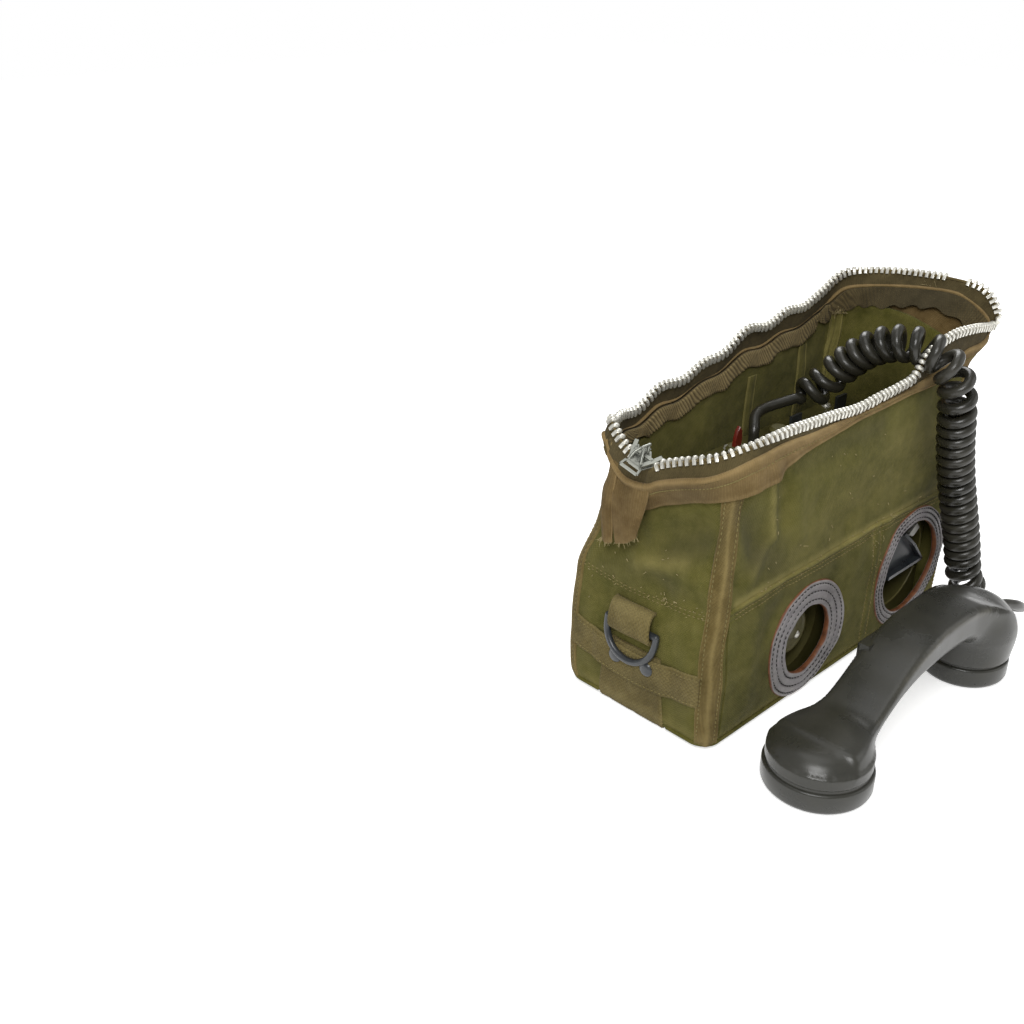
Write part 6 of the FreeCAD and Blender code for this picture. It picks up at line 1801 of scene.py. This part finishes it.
buzzerView = {
    "centre": (-41, -45.8, 42), "screwPlace": (-34.8, -47.2, 37),
    "dial": [(0.02, -6), (9, -6), (15.2, 0), (15.6, 1.4), (14.6, 2.6), (13.2, 2.7), (12.2, 1.7),
             (6.2, 1.5), (5.4, 3.0),
             (3.8, 3.4), (0.02, 3.4)],
    "screw": [(0.02, 0), (2.6, 0), (2.7, 1.0), (2.0, 1.9), (0.9, 2.3), (0.02, 2.35)],
}


def makeBuzzerControl():
    outward = (0, -1, 0)
    dial = latheSolid("buzzer_dial", buzzerView["dial"], oliveMoulding, buzzerView["centre"], outward, 64)
    addPiece(dial, ["buzzer_volume_control"], body="buzzer_volume")
    place = buzzerView["screwPlace"]
    screw = latheSolid("buzzer_dial_screw", buzzerView["screw"], nickel, place, outward, 24)
    addPiece(screw, body="buzzer_volume")


# The zip's slider: a ladder of thin bars on a plate with two lugs, and a pull whose arms hang from their pin.
# Plates and bars are (along, across) in the slider's own plane; lugs and arms are in the object's frame.

sliderView = {
    "place": (-133.2, 6.2, 170.6), "along": (1.0, 0.0, 0.42), "across": (0.1, -0.9, -0.38),
    "thick": 1.3, "tall": 4.6,
    "bars": [((-6, -3.4), (3, -8), 2.4), ((-6, 3.4), (3, 8), 2.4), ((-6, 0), (7.4, 0), 2.3),
             ((-6, -3.6), (-6, 3.6), 2.6),
             ((1.6, -7), (1.6, 7), 2.2), ((2.4, 7.4), (7.2, 9.2), 2.6), ((2.4, -7.4), (7.2, -9.2), 2.6)],
    "base": [(-6.6, -4.2), (-6.6, 4.2), (0, 8.2), (6.6, 9.4), (7.2, 7.4), (3.6, 4.6), (8, 1.2), (8, -1.2),
             (3.6, -4.6),
             (7.2, -7.4), (6.6, -9.4), (0, -8.2)],
    "lugs": [[(-130.5, 5, 172), (-130.6, 3.4, 177), (-130.6, 3, 180.8)],
             [(-135.4, 5, 172), (-135.4, 3.4, 177), (-135.4, 3, 180.8)]],
    "arms": [[(-136.6, 3, 180.3), (-133, 3, 180.3), (-129.4, 3, 180.3)],
             [(-133.6, 3, 180.3), (-137.4, 1.6, 177), (-141.2, -0.4, 172.4)],
             [(-132.4, 3.2, 180.3), (-137.2, 6.8, 177.4), (-141.6, 8.6, 172.8)]],
    "pull": [(-7.4, -5.2), (-7.4, 5.2), (-11.8, 5.8), (-11.8, -5.8)],
}


def sliderFrame():
    along = unit(np.array(sliderView["along"]))
    across = np.array(sliderView["across"])
    across = unit(across - along * (across @ along))
    return np.array(sliderView["place"]), along, across, np.cross(across, along)


def slab(name, plate, low, high, material):
    # a thin plate in the slider's own plane
    place, along, across, rise = sliderFrame()
    flat = np.array(plate, float)
    middle = flat.mean(0)
    small = middle + (flat - middle) * (1 - 0.3 / np.abs(flat - middle).max())
    rows = [place + o[:, :1] * along + o[:, 1:] * across + rise * h
            for o, h in ((small, low), (flat, low + 0.25), (flat, high - 0.25), (small, high))]
    return sweepSolid(name, np.array(rows), material, sharp=30)


def bar(a, b, wide):
    a, b = np.array(a, float), np.array(b, float)
    side = unit(np.array([a[1] - b[1], b[0] - a[0]])) * wide / 2
    return [a - side, a + side, b + side, b - side]


def tube(name, line, radius, material):
    path = curveThrough(line, np.linspace(0, len(line) - 1, 14), closed=False)
    return sweepSolid(name, tubeSections(path, radius, 10), material)


def makeSlider():
    thick, tall = sliderView["thick"], sliderView["tall"]
    parts = [slab("slider_plate", sliderView["base"], 0, thick, zincAlloy),
             slab("slider_neck", bar((-5, 0), (4, 0), 2.4), 0, tall, zincAlloy)]
    for a, b, wide in sliderView["bars"]:
        parts.append(slab("slider_bar", bar(a, b, wide), tall - thick, tall, zincAlloy))
    parts += [tube("slider_lug", line, 1.0, zincAlloy) for line in sliderView["lugs"]]
    addPiece(joined("slider_body", parts), ["zipper_slider"])
    pull = sliderView["pull"]
    sides = zip(pull, pull[1:] + pull[:1])
    parts = [slab("pull_bar", bar(a, b, 1.5), tall - 1.2, tall, zincAlloy) for a, b in sides]
    parts += [tube("pull_arm", line, 0.9, zincAlloy) for line in sliderView["arms"]]
    addPiece(joined("slider_pull_body", parts), ["zipper_pull"], body="slider_pull")


# Lint and flecks of thread caught on the canvas

# side, reach along it, reach in height, count
lint = [("front", (-100, 118), (99, 94), 46), ("left", (-46, 46), (92, 86), 26),
        ("front", (24, 40), (60, 92), 18),
        ("front", (-96, 60), (104, 160), 20), ("left", (-40, 40), (60, 120), 12)]


def makeLint():
    rng = np.random.default_rng(31)
    roots, ways, lengths = [], [], []
    for side, (q0, q1), (z0, z1), count in lint:
        q = rng.uniform(q0, q1, count)
        z = z0 + (z1 - z0) * rng.uniform(0, 1, count) + rng.normal(0, 1.5, count)
        p, n = onSkin(side, q, z, 0.9)
        roots += list(p)
        ways += list(n * 0.4 + rng.normal(0, 0.5, (count, 3)))
        lengths += list(rng.uniform(0.7, 2.2, count))
    addPiece(frayed("lint", roots, ways, lengths, paleThread, 0.26, seed=32))


tag = [(-33, 145), (-26.5, 145), (-25.6, 151), (-26.4, 157.5), (-28.6, 160), (-30.8, 157.5), (-32.6, 151)]


def makeTag():
    # a red tag standing on the left line post
    addPiece(prism("post_tag", tag, 13.6, 16.2, redPlastic, 0.6), body="left_post_cap")


# Materials of the pieces that keep the shape they have in the frame

plain = {
    nickel: ["buzzer_screw", "panel_screws", "line_post_bases"],
    blackSteel: ["d_ring_left", "d_ring_right", "cradle_clips", "talk_switch_lever",
                 "hook_switch_plunger"],
    steel: ["crank_shaft", "grip_pin", "generator_frame", "generator_rotor"],
    brass: ["main_gear", "rotor_pinion"],
    oliveMoulding: ["housing", "panel", "battery_cover", "line_post_left_cap", "line_post_right_cap",
                    "selector_knob",
                    "headset_receptacle"],
    redPlastic: ["receptacle_cap"],
    blackMoulding: ["gasket", "panel_cord_gland", "handset_cord_gland", "battery_holder", "batteries",
                    "induction_coil", "capacitor",
                    "buzzer", "receiver_capsule", "transmitter_capsule", "crank_grip"],
    handsetMoulding: ["push_to_talk_bar"],
}


def paintPlain():
    for material, names in plain.items():
        for name in names:
            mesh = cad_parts[name].data
            mesh.materials.clear()
            mesh.materials.append(material)


makeFloor()
makeWalls()
makeCornerBindings()
makeLowerFront()
makeWebbing()
makeChapes()
makeRivets()
makeStitches()
print("the canvas case is made")
makeRings()
makeMouthTape()
makeZipTape()
makeInnerBand()
makeTeeth()
makeFlap()
makeInside()
makeMouthStitches()
print("the mouth and its zip are made")
makeCord()
makeHandset()
makeCrank()
makeBuzzerControl()
makeSlider()
makeLint()
makeTag()
paintPlain()
